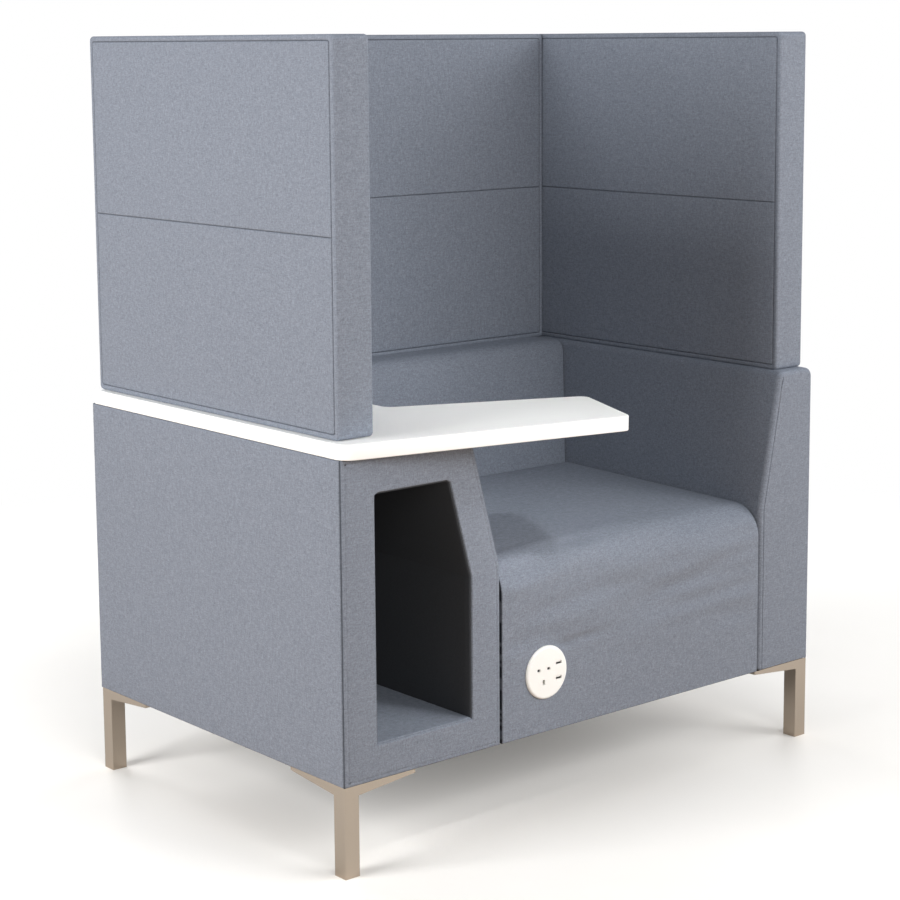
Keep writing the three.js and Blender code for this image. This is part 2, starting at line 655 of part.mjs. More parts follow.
worktopScrews.forEach(([x, y], i) => {
  const length = WORKTOP_UNDERSIDE + WORKTOP_SCREW_BITE - topBoardUnderside;
  const screw = fastener(SCREW_HEAD_RADIUS, SCREW_HEAD, SCREW_RADIUS, length);
  add(`worktop_screw_${i + 1}`, screw, zinc, [x, y, topBoardUnderside - FIT - SCREW_HEAD]);
});

// Corner legs: a tapered bar with two wings that carry the timber, each wing held by a screw
const legTop = LEG_HEIGHT - FIT;
const legTaper = LEG_FOOT / LEG_BAR;
const barGeometry = new THREE.BoxGeometry(LEG_BAR, LEG_BAR, legTop);
barGeometry.translate(LEG_BAR / 2, LEG_BAR / 2, legTop / 2);
const barPlace = barGeometry.attributes.position;
for (let i = 0; i < barPlace.count; i += 1) {
  const share = barPlace.getZ(i) > 0 ? 1 : legTaper;
  barPlace.setXY(i, barPlace.getX(i) * share, barPlace.getY(i) * share);
}
const wingSide = [
  corner(0, legTop),
  corner(0, legTop - WING_DROP),
  corner(LEG_BAR, legTop - WING_DROP),
  corner(WING_REACH, legTop - WING_TIP_DROP),
  corner(WING_REACH, legTop),
];
const wingAcross = prism('xz', wingSide, 0, LEG_BAR);
const wingAlong = prism('yz', wingSide, 0, LEG_BAR);
const [screwFar, screwNear] = [LEG_SCREW_AT, BOARD_MIDDLE - LEG_INSET];
const legHoles = [[screwFar, screwNear], [screwNear, screwFar]].flatMap(([x, y]) => [
  upright(SCREW_HOLE, x, y, 0, LEG_HEIGHT + PAST),
  upright(SCREW_HEAD_RADIUS + FIT, x, y, 0, legTop - WING_SEAT),
]);
const leg = without(solid(barGeometry).add(wingAcross).add(wingAlong), legHoles);
for (const { name, x, y, turn } of legCorners) {
  const inX = x === 0 ? LEG_INSET : -LEG_INSET;
  const inY = y === 0 ? LEG_INSET : -LEG_INSET;
  add(`${name}_leg`, leg, chrome, [x + inX, y + inY, 0], turn);
}
const legScrew = fastener(
  SCREW_HEAD_RADIUS, SCREW_HEAD, SCREW_RADIUS, WING_SEAT + 2 * FIT + SCREW_BITE,
);
for (const { name, x, y } of legScrews) {
  add(name, legScrew, zinc, [x, y, legTop - WING_SEAT - FIT - SCREW_HEAD]);
}

// Dust cover under the timber, between the legs
const dustEdge = LEG_INSET + LEG_BAR + DUST_GAP;
add(
  'dust_cover',
  box(dustEdge, POD_WIDTH - dustEdge, dustEdge, POD_DEPTH - dustEdge, legTop - DUST_COVER, legTop),
  blackCloth,
);

// Power module: its axis runs from front to back, and depths count from the fabric
const faceFront = -FIT - RIM_HEIGHT;
const flangeFloor = -FIT - FLANGE;
const faceBack = flangeFloor - FIT;
const baseFront = flangeFloor;
const BORE = NECK_RADIUS - NECK_WALL;
const FACE_RADIUS = RIM_RADIUS - RIM_WIDTH;
const timberBack = seatFrame.front + BOARD;
const neckEnd = timberBack + FIT + CLAMP_RING + FIT;
const atModule = (name, shape, material) => add(name, shape, material, [MODULE_X, 0, MODULE_Z]);

atModule(
  'module_body',
  turnedInward(
    [
      [BORE, flangeFloor],
      [FACE_RADIUS, flangeFloor],
      [FACE_RADIUS, faceFront],
      [RIM_RADIUS - RIM_ROUND, faceFront],
      [RIM_RADIUS, faceFront + RIM_ROUND],
      [RIM_RADIUS, -FIT],
      [NECK_RADIUS, -FIT],
      [NECK_RADIUS, neckEnd],
      [BORE, neckEnd],
      [BORE, flangeFloor],
    ],
    ROUND_STEPS,
  ),
  whitePlastic,
);

// The ports set the joint between the two faces, and the joint sets the socket
const portTop = (PORT_SPACING + PORT.high) / 2 + PORT_WALL;
const portRight = Math.sqrt((BORE - PORT_MARGIN) ** 2 - portTop ** 2);
const PORT_X = portRight - PORT_WALL - PORT.wide / 2;
const SPLIT = PORT_X - PORT.wide / 2 - PORT_WALL - SPLIT_MARGIN;
const SOCKET_X = SPLIT - SOCKET_TO_SPLIT;
const LINE_Z = PIN_LINE_ABOVE;
const EARTH_Z = LINE_Z - PIN_SPACING;
const pinPlaces = {
  line: [SOCKET_X - PIN_SPACING / 2, LINE_Z],
  neutral: [SOCKET_X + PIN_SPACING / 2, LINE_Z],
  earth: [SOCKET_X, EARTH_Z],
};
const around = ([x, z], { wide, high }, grow = 0) =>
  rectangle(x - wide / 2 - grow, x + wide / 2 + grow, z - high / 2 - grow, z + high / 2 + grow);

// A disc cut along an upright joint: the part on one side of it
function discSide(radius, side) {
  const joint = SPLIT + (side * FIT) / 2;
  const reach = Math.acos(joint / radius);
  const [from, to] = side > 0 ? [-reach, reach] : [reach, 2 * Math.PI - reach];
  return Array.from({ length: ROUND_STEPS + 1 }, (_, i) => {
    const angle = from + ((to - from) * i) / ROUND_STEPS;
    return new THREE.Vector2(radius * Math.cos(angle), radius * Math.sin(angle));
  });
}
const facePlate = (side, holes) =>
  without(
    solid(prismGeometry('xz', discSide(FACE_RADIUS - FIT, side), faceFront, faceBack)),
    holes.map((hole) => prism('xz', hole, faceFront - PAST, faceBack + PAST)),
  );
atModule(
  'socket_face',
  facePlate(-1, [
    around(pinPlaces.line, LINE_SLOT),
    around(pinPlaces.neutral, LINE_SLOT),
    around(pinPlaces.earth, EARTH_SLOT),
  ]),
  whitePlastic,
);
const portPlaces = [PORT_SPACING / 2, -PORT_SPACING / 2].map((z) => [PORT_X, z]);
atModule('charger_face', facePlate(1, portPlaces.map((place) => around(place, PORT))), whitePlastic);

// Safety shutter: a bar behind the line and neutral slots, and a stem that the earth pin lifts
const shutterFront = baseFront + FIT;
const shutterBack = shutterFront + SHUTTER;
const bar = {
  left: SOCKET_X - (PIN_SPACING + LINE_SLOT.wide) / 2 - SHUTTER_LAP,
  right: SOCKET_X + (PIN_SPACING + LINE_SLOT.wide) / 2 + SHUTTER_LAP,
  low: LINE_Z - LINE_SLOT.high / 2 - SHUTTER_LAP,
  high: LINE_Z + LINE_SLOT.high / 2 + SHUTTER_LAP,
};
const stemLow = EARTH_Z;
const stemSide = [
  corner(shutterFront, stemLow + SHUTTER),
  corner(shutterBack, stemLow),
  corner(shutterBack, bar.low + SHUTTER_LAP),
  corner(shutterFront, bar.low + SHUTTER_LAP),
];
const shutterStem = (grow) => [SOCKET_X - SHUTTER_STEM / 2 - grow, SOCKET_X + SHUTTER_STEM / 2 + grow];
atModule(
  'shutter',
  box(bar.left, bar.right, shutterFront, shutterBack, bar.low, bar.high)
    .add(prism('yz', stemSide, ...shutterStem(0))),
  whitePlastic,
);

// Return spring, from the shutter up to the end of its groove
const springLow = bar.high + FIT;
const springDepth = baseFront + FIT + SPRING_RADIUS;
class Coil extends THREE.Curve {
  getPoint(t, target = new THREE.Vector3()) {
    const angle = 2 * Math.PI * SPRING_TURNS * t;
    const radius = SPRING_RADIUS - SPRING_WIRE / 2;
    const height = springLow + SPRING_WIRE / 2 + (SPRING_LENGTH - SPRING_WIRE) * t;
    return target.set(SOCKET_X + radius * Math.cos(angle), springDepth + radius * Math.sin(angle), height);
  }
}
const wireSection = Array.from({ length: 5 }, (_, i) =>
  new THREE.Vector2(SPRING_WIRE / 2, 0).rotateAround(new THREE.Vector2(), (2 * Math.PI * i) / 5),
);
const springPath = { extrudePath: new Coil(), steps: 8 * SPRING_TURNS };
atModule('shutter_spring', solid(new THREE.ExtrudeGeometry(new THREE.Shape(wireSection), springPath)), zinc);
console.log('least gap between spring turns', SPRING_LENGTH / SPRING_TURNS - SPRING_WIRE);

// Moulded base with the shutter's slide, the spring's groove and a pocket for each contact
const pocketFront = shutterBack + FIT;
const contactFront = pocketFront + FIT;
const contactBack = contactFront + CONTACT_DEPTH;
const jaw = CONTACT_GRIP.gap + 2 * CONTACT_WALL;
const contactSize = {
  line: { wide: CONTACT_GRIP.wide, high: jaw },
  neutral: { wide: CONTACT_GRIP.wide, high: jaw },
  earth: { wide: jaw, high: CONTACT_GRIP.wide },
};
const pockets = Object.entries(pinPlaces).map(([pin, place]) =>
  prism('xz', around(place, contactSize[pin], FIT), baseFront - PAST, contactBack + FIT),
);
const slide = box(
  bar.left - FIT, bar.right + FIT, baseFront - PAST, pocketFront, bar.low - FIT, bar.high + SHUTTER_TRAVEL + FIT,
);
const stemSlide = box(...shutterStem(FIT), baseFront - PAST, pocketFront, stemLow - FIT, bar.high);
const groove = box(
  SOCKET_X - SPRING_RADIUS - FIT, SOCKET_X + SPRING_RADIUS + FIT,
  baseFront - PAST, springDepth + SPRING_RADIUS + FIT, bar.high, springLow + SPRING_LENGTH + FIT,
);
const baseSolid = solid(
  prismGeometry('xz', discSide(BORE - FIT, -1), baseFront, contactBack + FIT + BASE_WALL),
);
atModule('socket_base', without(baseSolid, [...pockets, slide, stemSlide, groove]), whitePlastic);

// Contacts: sprung brass jaws, open to the front
for (const [pin, place] of Object.entries(pinPlaces)) {
  const gap = pin === 'earth'
    ? { wide: CONTACT_GRIP.gap, high: CONTACT_GRIP.wide + PAST }
    : { wide: CONTACT_GRIP.wide + PAST, high: CONTACT_GRIP.gap };
  const clip = prism('xz', around(place, contactSize[pin]), contactFront, contactBack)
    .subtract(prism('xz', around(place, gap), contactFront - PAST, contactBack - CONTACT_WALL));
  atModule(`${pin}_contact`, clip, brass);
}

// Charger: two ports in one metal block on a circuit board
const portFront = faceBack + FIT;
const portBack = portFront + PORT.deep + PORT_WALL;
const blockOutline = around([PORT_X, 0], { wide: PORT.wide, high: PORT_SPACING + PORT.high }, PORT_WALL);
atModule(
  'charger_ports',
  without(
    prism('xz', blockOutline, portFront, portBack),
    portPlaces.map((place) => prism('xz', around(place, PORT), portFront - PAST, portFront + PORT.deep)),
  ),
  zinc,
);
atModule(
  'charger_board',
  solid(prismGeometry('xz', discSide(BORE - FIT, 1), portBack + FIT, portBack + FIT + CHARGER_BOARD)),
  boardGreen,
);

// Clamp ring behind the timber, rear cap and cable inlet
atModule(
  'clamp_ring',
  turnedInward(
    [
      [NECK_RADIUS + FIT, timberBack + FIT],
      [NECK_RADIUS + CLAMP_RING_WIDTH, timberBack + FIT],
      [NECK_RADIUS + CLAMP_RING_WIDTH, timberBack + FIT + CLAMP_RING],
      [NECK_RADIUS + FIT, timberBack + FIT + CLAMP_RING],
      [NECK_RADIUS + FIT, timberBack + FIT],
    ],
    ROUND_STEPS,
  ),
  blackPlastic,
);
const capFront = neckEnd - REAR_CAP;
atModule(
  'rear_cap',
  inward(BORE - FIT, 0, 0, capFront, neckEnd)
    .subtract(inward(INLET_RADIUS + FIT, 0, 0, capFront - PAST, neckEnd + PAST, SMALL_ROUND_STEPS)),
  blackPlastic,
);
const inletEnd = neckEnd + INLET_LENGTH;
atModule(
  'cable_inlet',
  turnedInward(
    [
      [INLET_BORE, capFront],
      [INLET_RADIUS, capFront],
      [INLET_RADIUS, neckEnd + FIT],
      [INLET_RADIUS + INLET_FLANGE, neckEnd + FIT],
      [INLET_RADIUS + INLET_FLANGE, neckEnd + FIT + INLET_FLANGE],
      [INLET_RADIUS, neckEnd + FIT + INLET_FLANGE],
      [INLET_RADIUS - 1, inletEnd],
      [INLET_BORE, inletEnd],
      [INLET_BORE, capFront],
    ],
    SMALL_ROUND_STEPS,
  ),
  blackPlastic,
);

// Stand the pod on the floor with the middle of its plan at the origin
const extent = new THREE.Box3().setFromObject(pod);
const middle = extent.getCenter(new THREE.Vector3());
pod.position.set(-middle.x, -middle.y, 0);

export default placed;
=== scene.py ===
# %% [markdown]
# # Acoustic office pod
# A one-person work booth: a seat between a storage arm and a plain arm, a leaning back, three tall
# padded screens, a white worktop and a power module in the seat front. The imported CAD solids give
# every place and size. This script dresses them: each upholstered block becomes sewn panels with
# real seams, and the hard parts get their finishes.

import json
import math

import bmesh
import bpy
import numpy as np
from mathutils import Matrix, Vector, noise
from mathutils.geometry import delaunay_2d_cdt

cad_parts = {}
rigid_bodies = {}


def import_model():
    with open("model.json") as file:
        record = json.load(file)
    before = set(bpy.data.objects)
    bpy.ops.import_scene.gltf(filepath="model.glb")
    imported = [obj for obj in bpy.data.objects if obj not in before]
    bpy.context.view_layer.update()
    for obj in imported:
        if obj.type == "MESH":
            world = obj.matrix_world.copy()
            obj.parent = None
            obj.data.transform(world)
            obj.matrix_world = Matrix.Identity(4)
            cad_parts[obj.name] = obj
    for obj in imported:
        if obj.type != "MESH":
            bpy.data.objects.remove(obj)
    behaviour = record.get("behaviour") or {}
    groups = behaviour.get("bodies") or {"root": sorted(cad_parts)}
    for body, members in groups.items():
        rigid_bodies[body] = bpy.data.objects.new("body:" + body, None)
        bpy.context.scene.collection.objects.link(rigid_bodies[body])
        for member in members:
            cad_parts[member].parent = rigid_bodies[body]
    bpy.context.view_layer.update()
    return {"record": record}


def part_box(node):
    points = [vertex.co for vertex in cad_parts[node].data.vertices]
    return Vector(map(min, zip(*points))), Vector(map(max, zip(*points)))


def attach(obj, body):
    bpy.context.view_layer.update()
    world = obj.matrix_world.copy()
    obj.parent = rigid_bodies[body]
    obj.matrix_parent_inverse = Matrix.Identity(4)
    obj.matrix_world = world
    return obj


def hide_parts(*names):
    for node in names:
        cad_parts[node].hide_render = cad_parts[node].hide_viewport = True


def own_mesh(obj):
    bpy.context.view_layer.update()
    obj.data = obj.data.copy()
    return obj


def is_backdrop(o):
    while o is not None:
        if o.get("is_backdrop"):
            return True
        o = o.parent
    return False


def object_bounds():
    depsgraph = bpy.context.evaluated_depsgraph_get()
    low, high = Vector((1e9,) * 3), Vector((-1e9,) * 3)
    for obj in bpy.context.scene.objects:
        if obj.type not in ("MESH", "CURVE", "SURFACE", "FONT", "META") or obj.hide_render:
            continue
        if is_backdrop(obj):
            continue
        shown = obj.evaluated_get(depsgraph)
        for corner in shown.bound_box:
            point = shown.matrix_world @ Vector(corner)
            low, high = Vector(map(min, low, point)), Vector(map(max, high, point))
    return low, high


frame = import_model()
BODY = "pod"
pod_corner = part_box("storage_cover")[0]


def place(points):
    """Pod millimetres (left face x = 0, front y = 0, floor z = 0) in metres of the frame."""
    return np.asarray(points, float) / 1000 + [pod_corner[0], pod_corner[1], 0]


# %% [markdown]
# ## Camera
# The view was solved from the pod's own straight edges: where their vanishing points meet gives
# the lens, and the known height of the screens gives the distance. The small shift stands for
# a picture that was cropped off centre.

# %% Camera at the photograph's angle
LENS, SENSOR, SHIFT = 86.5, 36, -0.1
VIEWPOINT, TURNS_OF_VIEW = (-1959.9, -2583.1, 1307.3), (40.193, -8.446, -0.416)
yaw, pitch, roll = (math.radians(v) for v in TURNS_OF_VIEW)
ahead = Vector((math.sin(yaw) * math.cos(pitch), math.cos(yaw) * math.cos(pitch), math.sin(pitch)))
level = Vector((math.cos(yaw), -math.sin(yaw), 0))
above = level.cross(ahead)
across = math.cos(roll) * level + math.sin(roll) * above
upward = -math.sin(roll) * level + math.cos(roll) * above

camera = bpy.data.objects.new("camera", bpy.data.cameras.new("camera"))
bpy.context.scene.collection.objects.link(camera)
camera.data.lens, camera.data.sensor_width, camera.data.shift_y = LENS, SENSOR, SHIFT
camera.data.clip_end = 60
turn = Matrix((across, upward, -ahead)).transposed().to_4x4()
camera.matrix_world = Matrix.Translation(place(VIEWPOINT)) @ turn
bpy.context.scene.camera = camera
print("camera at", [round(v, 2) for v in camera.matrix_world.translation])

# %% [markdown]
# ## Finishes
# Every finish starts from what the real material is. One function turns sRGB hex into the linear
# colour that a shader wants, and one adds a node with its settings and its links. Patterns use
# object coordinates in metres, so a feature of n millimetres has a scale of 1000 / n.

# %% Helpers for finishes
def linear(code):
    """sRGB hex to linear colour."""
    parts = [int(code[i : i + 2], 16) / 255 for i in (1, 3, 5)]
    return (*[c / 12.92 if c <= 0.04045 else ((c + 0.055) / 1.055) ** 2.4 for c in parts], 1)


def per_mm(size):
    """Texture scale for a feature of this size in millimetres."""
    return 1000 / size


def node(tree, kind, settings=(), inputs=()):
    """Adds a node with its settings; an input is a value or a socket to link."""
    made = tree.nodes.new(kind)
    for name, value in dict(settings).items():
        setattr(made, name, value)
    for name, value in dict(inputs).items():
        if isinstance(value, bpy.types.NodeSocket):
            tree.links.new(value, made.inputs[name])
        else:
            made.inputs[name].default_value = value
    return made


def finish_of(name, colour, **sockets):
    """A new material: its node tree, its shader and the object coordinates."""
    made = bpy.data.materials.new(name)
    made.use_nodes = True
    tree = made.node_tree
    shader = tree.nodes["Principled BSDF"]
    shader.inputs["Base Color"].default_value = linear(colour)
    for socket, value in sockets.items():
        shader.inputs[socket.replace("_", " ").title().replace("Ior", "IOR")].default_value = value
    coords = node(tree, "ShaderNodeTexCoord").outputs["Object"]
    return made, tree, shader, coords


finishes = {}
print("finish helpers ready")

# %% [markdown]
# Most finishes share a few patterns: noise, stretched noise, two-colour ramps, gloss and bumps.

# %% Patterns
def noise_of(tree, vector, scale, detail, roughness=0.5):
    """Values of a noise along a vector."""
    inputs = {"Vector": vector, "Scale": scale, "Detail": detail, "Roughness": roughness}
    return node(tree, "ShaderNodeTexNoise", {}, inputs).outputs["Fac"]


def stretched(tree, vector, scale):
    """A vector with its own scale on each axis."""
    return node(tree, "ShaderNodeMapping", {}, {"Vector": vector, "Scale": scale}).outputs[0]


def math_of(tree, operation, *values):
    """Result of a mathematical operation on two or three values."""
    return node(tree, "ShaderNodeMath", {"operation": operation}, enumerate(values)).outputs[0]


def ramp_of(tree, value, dark, light):
    """A colour between two hex codes."""
    ramp = node(tree, "ShaderNodeValToRGB", {}, {"Fac": value})
    for stop, code in zip(ramp.color_ramp.elements, (dark, light)):
        stop.color = linear(code)
    return ramp.outputs["Color"]


def vary_gloss(tree, shader, value, low, high):
    """Roughness that follows a value between two limits."""
    gloss = node(tree, "ShaderNodeMapRange", {}, {"Value": value, "To Min": low, "To Max": high})
    tree.links.new(gloss.outputs[0], shader.inputs["Roughness"])


def add_bump(tree, shader, height, strength, distance):
    """Small bumps on a shader; their distance is in metres."""
    inputs = {"Height": height, "Strength": strength, "Distance": distance}
    bump = node(tree, "ShaderNodeBump", {}, inputs)
    tree.links.new(bump.outputs[0], shader.inputs["Normal"])


print("patterns ready")

# %% [markdown]
# ### Felted wool upholstery
# A milled wool cloth: the weave is closed by the felting, so the eye sees a soft matte blue-grey
# with slightly lighter and darker fibres and a faint thread direction, not a clear weave. A low
# sheen stands for the raised fibres. Threads are about 0.7 mm apart, too fine for the render, so
# the streaks are drawn about twice as coarse. Deep in a seam the cloth is folded tight and no light
# gets in; the panels carry that depth as an attribute, and it darkens the colour there as painted
# shade.

# %% Felted wool
# the last colour is the painted shade deep in the seams
WOOL, DARK_FIBRE, LIGHT_FIBRE, SEAM_SHADOW = "#7a818c", "#656b76", "#8e95a1", "#23272d"
ACROSS_THREAD, ALONG_THREAD = 700, 110
wool, tree, shader, coords = finish_of(
    "felted_wool", WOOL, roughness=0.96, sheen_weight=0.12, sheen_roughness=0.55
)
shader.inputs["Sheen Tint"].default_value = linear("#b9c0cc")
shader.inputs["Specular IOR Level"].default_value = 0.12
mottle = noise_of(tree, coords, per_mm(5), 3, 0.6)
fibre = noise_of(tree, coords, per_mm(2), 2, 0.7)
warp_way = stretched(tree, coords, (ACROSS_THREAD, ACROSS_THREAD, ALONG_THREAD))
weft_way = stretched(tree, coords, (ALONG_THREAD, ALONG_THREAD, ACROSS_THREAD))
weave = math_of(tree, "MULTIPLY", noise_of(tree, warp_way, 1, 1), noise_of(tree, weft_way, 1, 1))
cloth = math_of(tree, "MULTIPLY_ADD", weave, 1.1, fibre)
tone = math_of(tree, "MULTIPLY_ADD", mottle, 0.5, cloth)
shade = node(tree, "ShaderNodeMapRange", {}, {"Value": tone, "From Min": 0.6, "From Max": 1.5})
open_cloth = ramp_of(tree, shade.outputs[0], DARK_FIBRE, LIGHT_FIBRE)
# painted shade: the seam attribute mixes the cloth towards near black where the seams lie deep
seam = node(tree, "ShaderNodeAttribute", {"attribute_name": "seam"}).outputs["Fac"]
colours = {0: seam, 6: open_cloth, 7: linear(SEAM_SHADOW)}
seam_shadowed = node(tree, "ShaderNodeMix", {"data_type": "RGBA"}, colours)
tree.links.new(seam_shadowed.outputs[2], shader.inputs["Base Color"])
add_bump(tree, shader, cloth, 0.35, 0.0006)
finishes["fabric"] = wool
print("felted wool:", len(tree.nodes), "nodes")

# %% [markdown]
# ### White laminate and its edge band
# High-pressure laminate pressed with a fine satin texture, and an ABS edge band ironed on in the
# same white. Both are smooth; only a very low orange-peel bump breaks the reflections.

# %% Laminate and edge band
for slot, name, colour, rough in (
    ("laminate", "high_pressure_laminate", "#f4f4f2", 0.38),
    ("edge_band", "abs_edge_band", "#f2f2f0", 0.42),
):
    white, tree, shader, coords = finish_of(name, colour, roughness=rough, ior=1.5)
    vary_gloss(tree, shader, noise_of(tree, coords, per_mm(90), 3), rough - 0.06, rough + 0.06)
    add_bump(tree, shader, noise_of(tree, coords, per_mm(1.5), 2), 0.06, 0.0002)
    finishes[slot] = white
print("white finishes:", finishes["laminate"].name, finishes["edge_band"].name)

# %% [markdown]
# ### Metals
# The legs are cast and nickel-chromium plated: a mirror with faint polishing lines, slightly warm
# from the nickel and darker and browner still as a painted reflection of a brown wooden floor.
# Screws and bolts are zinc plated, which is greyer and dull. Contacts are stamped brass. A metal
# keeps the default IOR; its roughness varies with fine noise.

# %% Metals
for slot, name, colour, rough, grain in (
    # the plate's colour is darkened and browned as a painted reflection of a wooden floor
    ("chrome", "nickel_chromium_and_painted_reflection", "#a89b8d", 0.09, (30, 30, 900)),
    ("zinc_steel", "zinc_plated_steel", "#b4b8bc", 0.42, (300, 300, 300)),
    ("brass", "stamped_brass", "#c9a24d", 0.34, (200, 200, 900)),
):
    metal, tree, shader, coords = finish_of(name, colour, metallic=1.0, roughness=rough)
    lines = noise_of(tree, stretched(tree, coords, grain), 1, 4)
    vary_gloss(tree, shader, lines, rough * 0.7, rough * 1.35)
    add_bump(tree, shader, lines, 0.05, 0.0002)
    finishes[slot] = metal
print("metals:", [finishes[s].name for s in ("chrome", "zinc_steel", "brass")])

# %% [markdown]
# ### Plastics, board and cloth
# The module is moulded in white polycarbonate and its rear parts in black nylon with a fine
# spark-eroded grain; its shutter is coloured dark grey as painted shade, so the pin slots read dark.
# The circuit board is coated glass fibre. The cloth below the seat is a spun-bonded black felt. The
# niche's walls have a needled felt coloured near black, partly its own charcoal and partly painted
# shade.

# %% Plastics, board and cloth
for slot, name, dark, light, rough, size in (
    ("white_plastic", "moulded_polycarbonate", "#eaeae7", "#f0f0ee", 0.3, 2.0),
    # the shutter's dark grey is painted shade in the pin slots
    ("shutter_plastic", "shutter_plastic_painted_shade", "#2b2c2f", "#36373a", 0.5, 1.5),
    ("black_plastic", "moulded_nylon", "#141416", "#1d1d20", 0.55, 0.8),
    ("circuit_board", "coated_glass_fibre_board", "#1d6b3a", "#268048", 0.4, 1.2),
    ("black_cloth", "spun_bonded_felt", "#1b1b1d", "#2a2a2d", 0.95, 1.5),
    # the lining's near black is partly charcoal felt and partly painted shade in the niche
    ("lining_felt", "needled_felt_and_painted_shade", "#2d2f33", "#3d4045", 0.97, 1.8),
    ("foam", "open_cell_foam", "#cbbf94", "#e2d8b2", 0.95, 1.2),
):
    made, tree, shader, coords = finish_of(name, light, roughness=rough)
    speck = noise_of(tree, coords, per_mm(size), 4)
    tree.links.new(ramp_of(tree, speck, dark, light), shader.inputs["Base Color"])
    add_bump(tree, shader, speck, 0.6 * rough, 0.0002)
    finishes[slot] = made
print("plastics and cloth:", len(finishes), "finishes so far")

# %% [markdown]
# ### Birch plywood
# The boxes inside are birch plywood: pale yellow wood with long, faint grain lines about 3 mm apart.

# %% Birch plywood
birch, tree, shader, coords = finish_of("birch_plywood", "#d8b98a", roughness=0.6)
grain = noise_of(tree, stretched(tree, coords, (6, 330, 330)), 1, 5)
tree.links.new(ramp_of(tree, grain, "#c39f6c", "#e3c99c"), shader.inputs["Base Color"])
add_bump(tree, shader, grain, 0.2, 0.0003)
finishes["timber"] = birch
print("birch plywood:", len(finishes), "finishes in all")

# %% [markdown]
# Each CAD node gets the finish of its slot; only the shutter is darker than its slot's plastic, as
# painted shade in the pin slots.

# %% Finishes on the CAD nodes
for subpart in frame["record"]["subparts"]:
    slots = bpy.data.objects[subpart["node"]].data.materials
    slot = "shutter_plastic" if subpart["node"] == "shutter" else subpart["material_slot"]
    slots.clear()
    slots.append(finishes[slot])

# %% [markdown]
# ## Sewn panels
# Upholstery is flat cloth cut to panels, sewn edge to edge and pulled over foam. So each panel is
# made as an outline on a surface: its border turns down into the seam in a quarter round, a few
# rings follow the border so that the seam stays crisp, and the inside is a grid joined to the
# rings by a Delaunay triangulation. The surface is flat, or a sheet bent along a profile.

# %% Profiles and surfaces
STEP = 5.0  # mm between points along a seam


def rounded(corners, closed=False, step=3.0, count=0):
    """Points of a path with arcs: corners are (u, v) or (u, v, radius)."""
    places = [np.array(c[:2], float) for c in corners]
    points = []
    for i, corner in enumerate(corners):
        radius = corner[2] if len(corner) > 2 else 0
        if not radius or (not closed and i in (0, len(corners) - 1)):
            points.append(places[i])
            continue
        a = places[i - 1] - places[i]
        b = places[(i + 1) % len(places)] - places[i]
        a, b = a / np.linalg.norm(a), b / np.linalg.norm(b)
        half = math.acos(np.clip(a @ b, -1, 1)) / 2
        middle = places[i] + (a + b) / np.linalg.norm(a + b) * radius / math.sin(half)
        first = places[i] + a * radius / math.tan(half) - middle
        last = places[i] + b * radius / math.tan(half) - middle
        angle = math.pi - 2 * half
        parts = count or max(2, math.ceil(angle * radius / step))
        for k in range(parts + 1):
            t = k / parts * angle
            points.append(middle + (first * math.sin(angle - t) + last * math.sin(t)) / math.sin(angle))
    return np.array(points)


class Flat:
    """A flat face: a runs along, s runs up, and out is the way it faces."""

    def __init__(self, corner, along, up, out):
        self.corner, self.along = np.array(corner, float), np.array(along, float)
        self.up, self.out = np.array(up, float), np.array(out, float)

    def at(self, a, s):
        """Places and outward ways."""
        points = self.corner + np.outer(a, self.along) + np.outer(s, self.up)
        return points, np.tile(self.out, (len(a), 1))

    def breaks(self):
        """A flat face has no bend that a grid must keep."""
        return []


class Bent:
    """A sheet bent along a profile in xz or yz and swept straight; s is length along the profile."""

    def __init__(self, plane, profile):
        self.plane, self.profile = plane, profile
        self.length = np.concatenate([[0], np.cumsum(np.linalg.norm(np.diff(profile, axis=0), axis=1))])
        self.span = self.length[-1]
        self.tangent = np.gradient(profile, axis=0)
        self.tangent[1:-1] = profile[2:] - profile[:-2]

    def at(self, a, s):
        """Places and outward ways."""
        u, v, tu, tv = (
            np.interp(s, self.length, values) for values in (*self.profile.T, *self.tangent.T)
        )
        size = np.hypot(tu, tv)
        nu, nv, zero = -tv / size, tu / size, np.zeros(len(a))
        if self.plane == "xz":
            return np.stack([u, a, v], 1), np.stack([nu, zero, nv], 1)
        return np.stack([a, u, v], 1), np.stack([zero, nu, nv], 1)

    def breaks(self):
        """Lengths at the points of the profile, where the sheet bends."""
        return list(self.length)


print("surfaces ready; seam step", STEP, "mm")

# %% [markdown]
# Plain tools for a border: move it inwards, walk along it, and measure from it.

# %% Rings along a border
def offset(outline, distance):
    """The outline moved to its left by a distance, with mitred corners."""
    before = outline - np.roll(outline, 1, 0)
    after = np.roll(outline, -1, 0) - outline
    left, next_left = (
        np.stack([-d[:, 1], d[:, 0]], 1) / np.linalg.norm(d, axis=1)[:, None] for d in (before, after)
    )
    return outline + distance * (left + next_left) / (1 + (left * next_left).sum(1))[:, None]


def area_of(outline):
    """Area within an outline, below zero if it runs clockwise."""
    u, v = outline.T
    return 0.5 * float(np.sum(u * np.roll(v, -1) - v * np.roll(u, -1)))


def spread(outline):
    """Points per side, so that no side step is much longer than STEP."""
    lengths = np.linalg.norm(np.roll(outline, -1, 0) - outline, axis=1)
    return np.maximum(1, np.round(lengths / STEP)).astype(int)


def walk(corners, counts):
    """Points on the sides between corners, the same number on every ring."""
    following = np.roll(corners, -1, 0)
    return np.concatenate(
        [c + (n - c) * (np.arange(k) / k)[:, None] for c, n, k in zip(corners, following, counts)]
    )


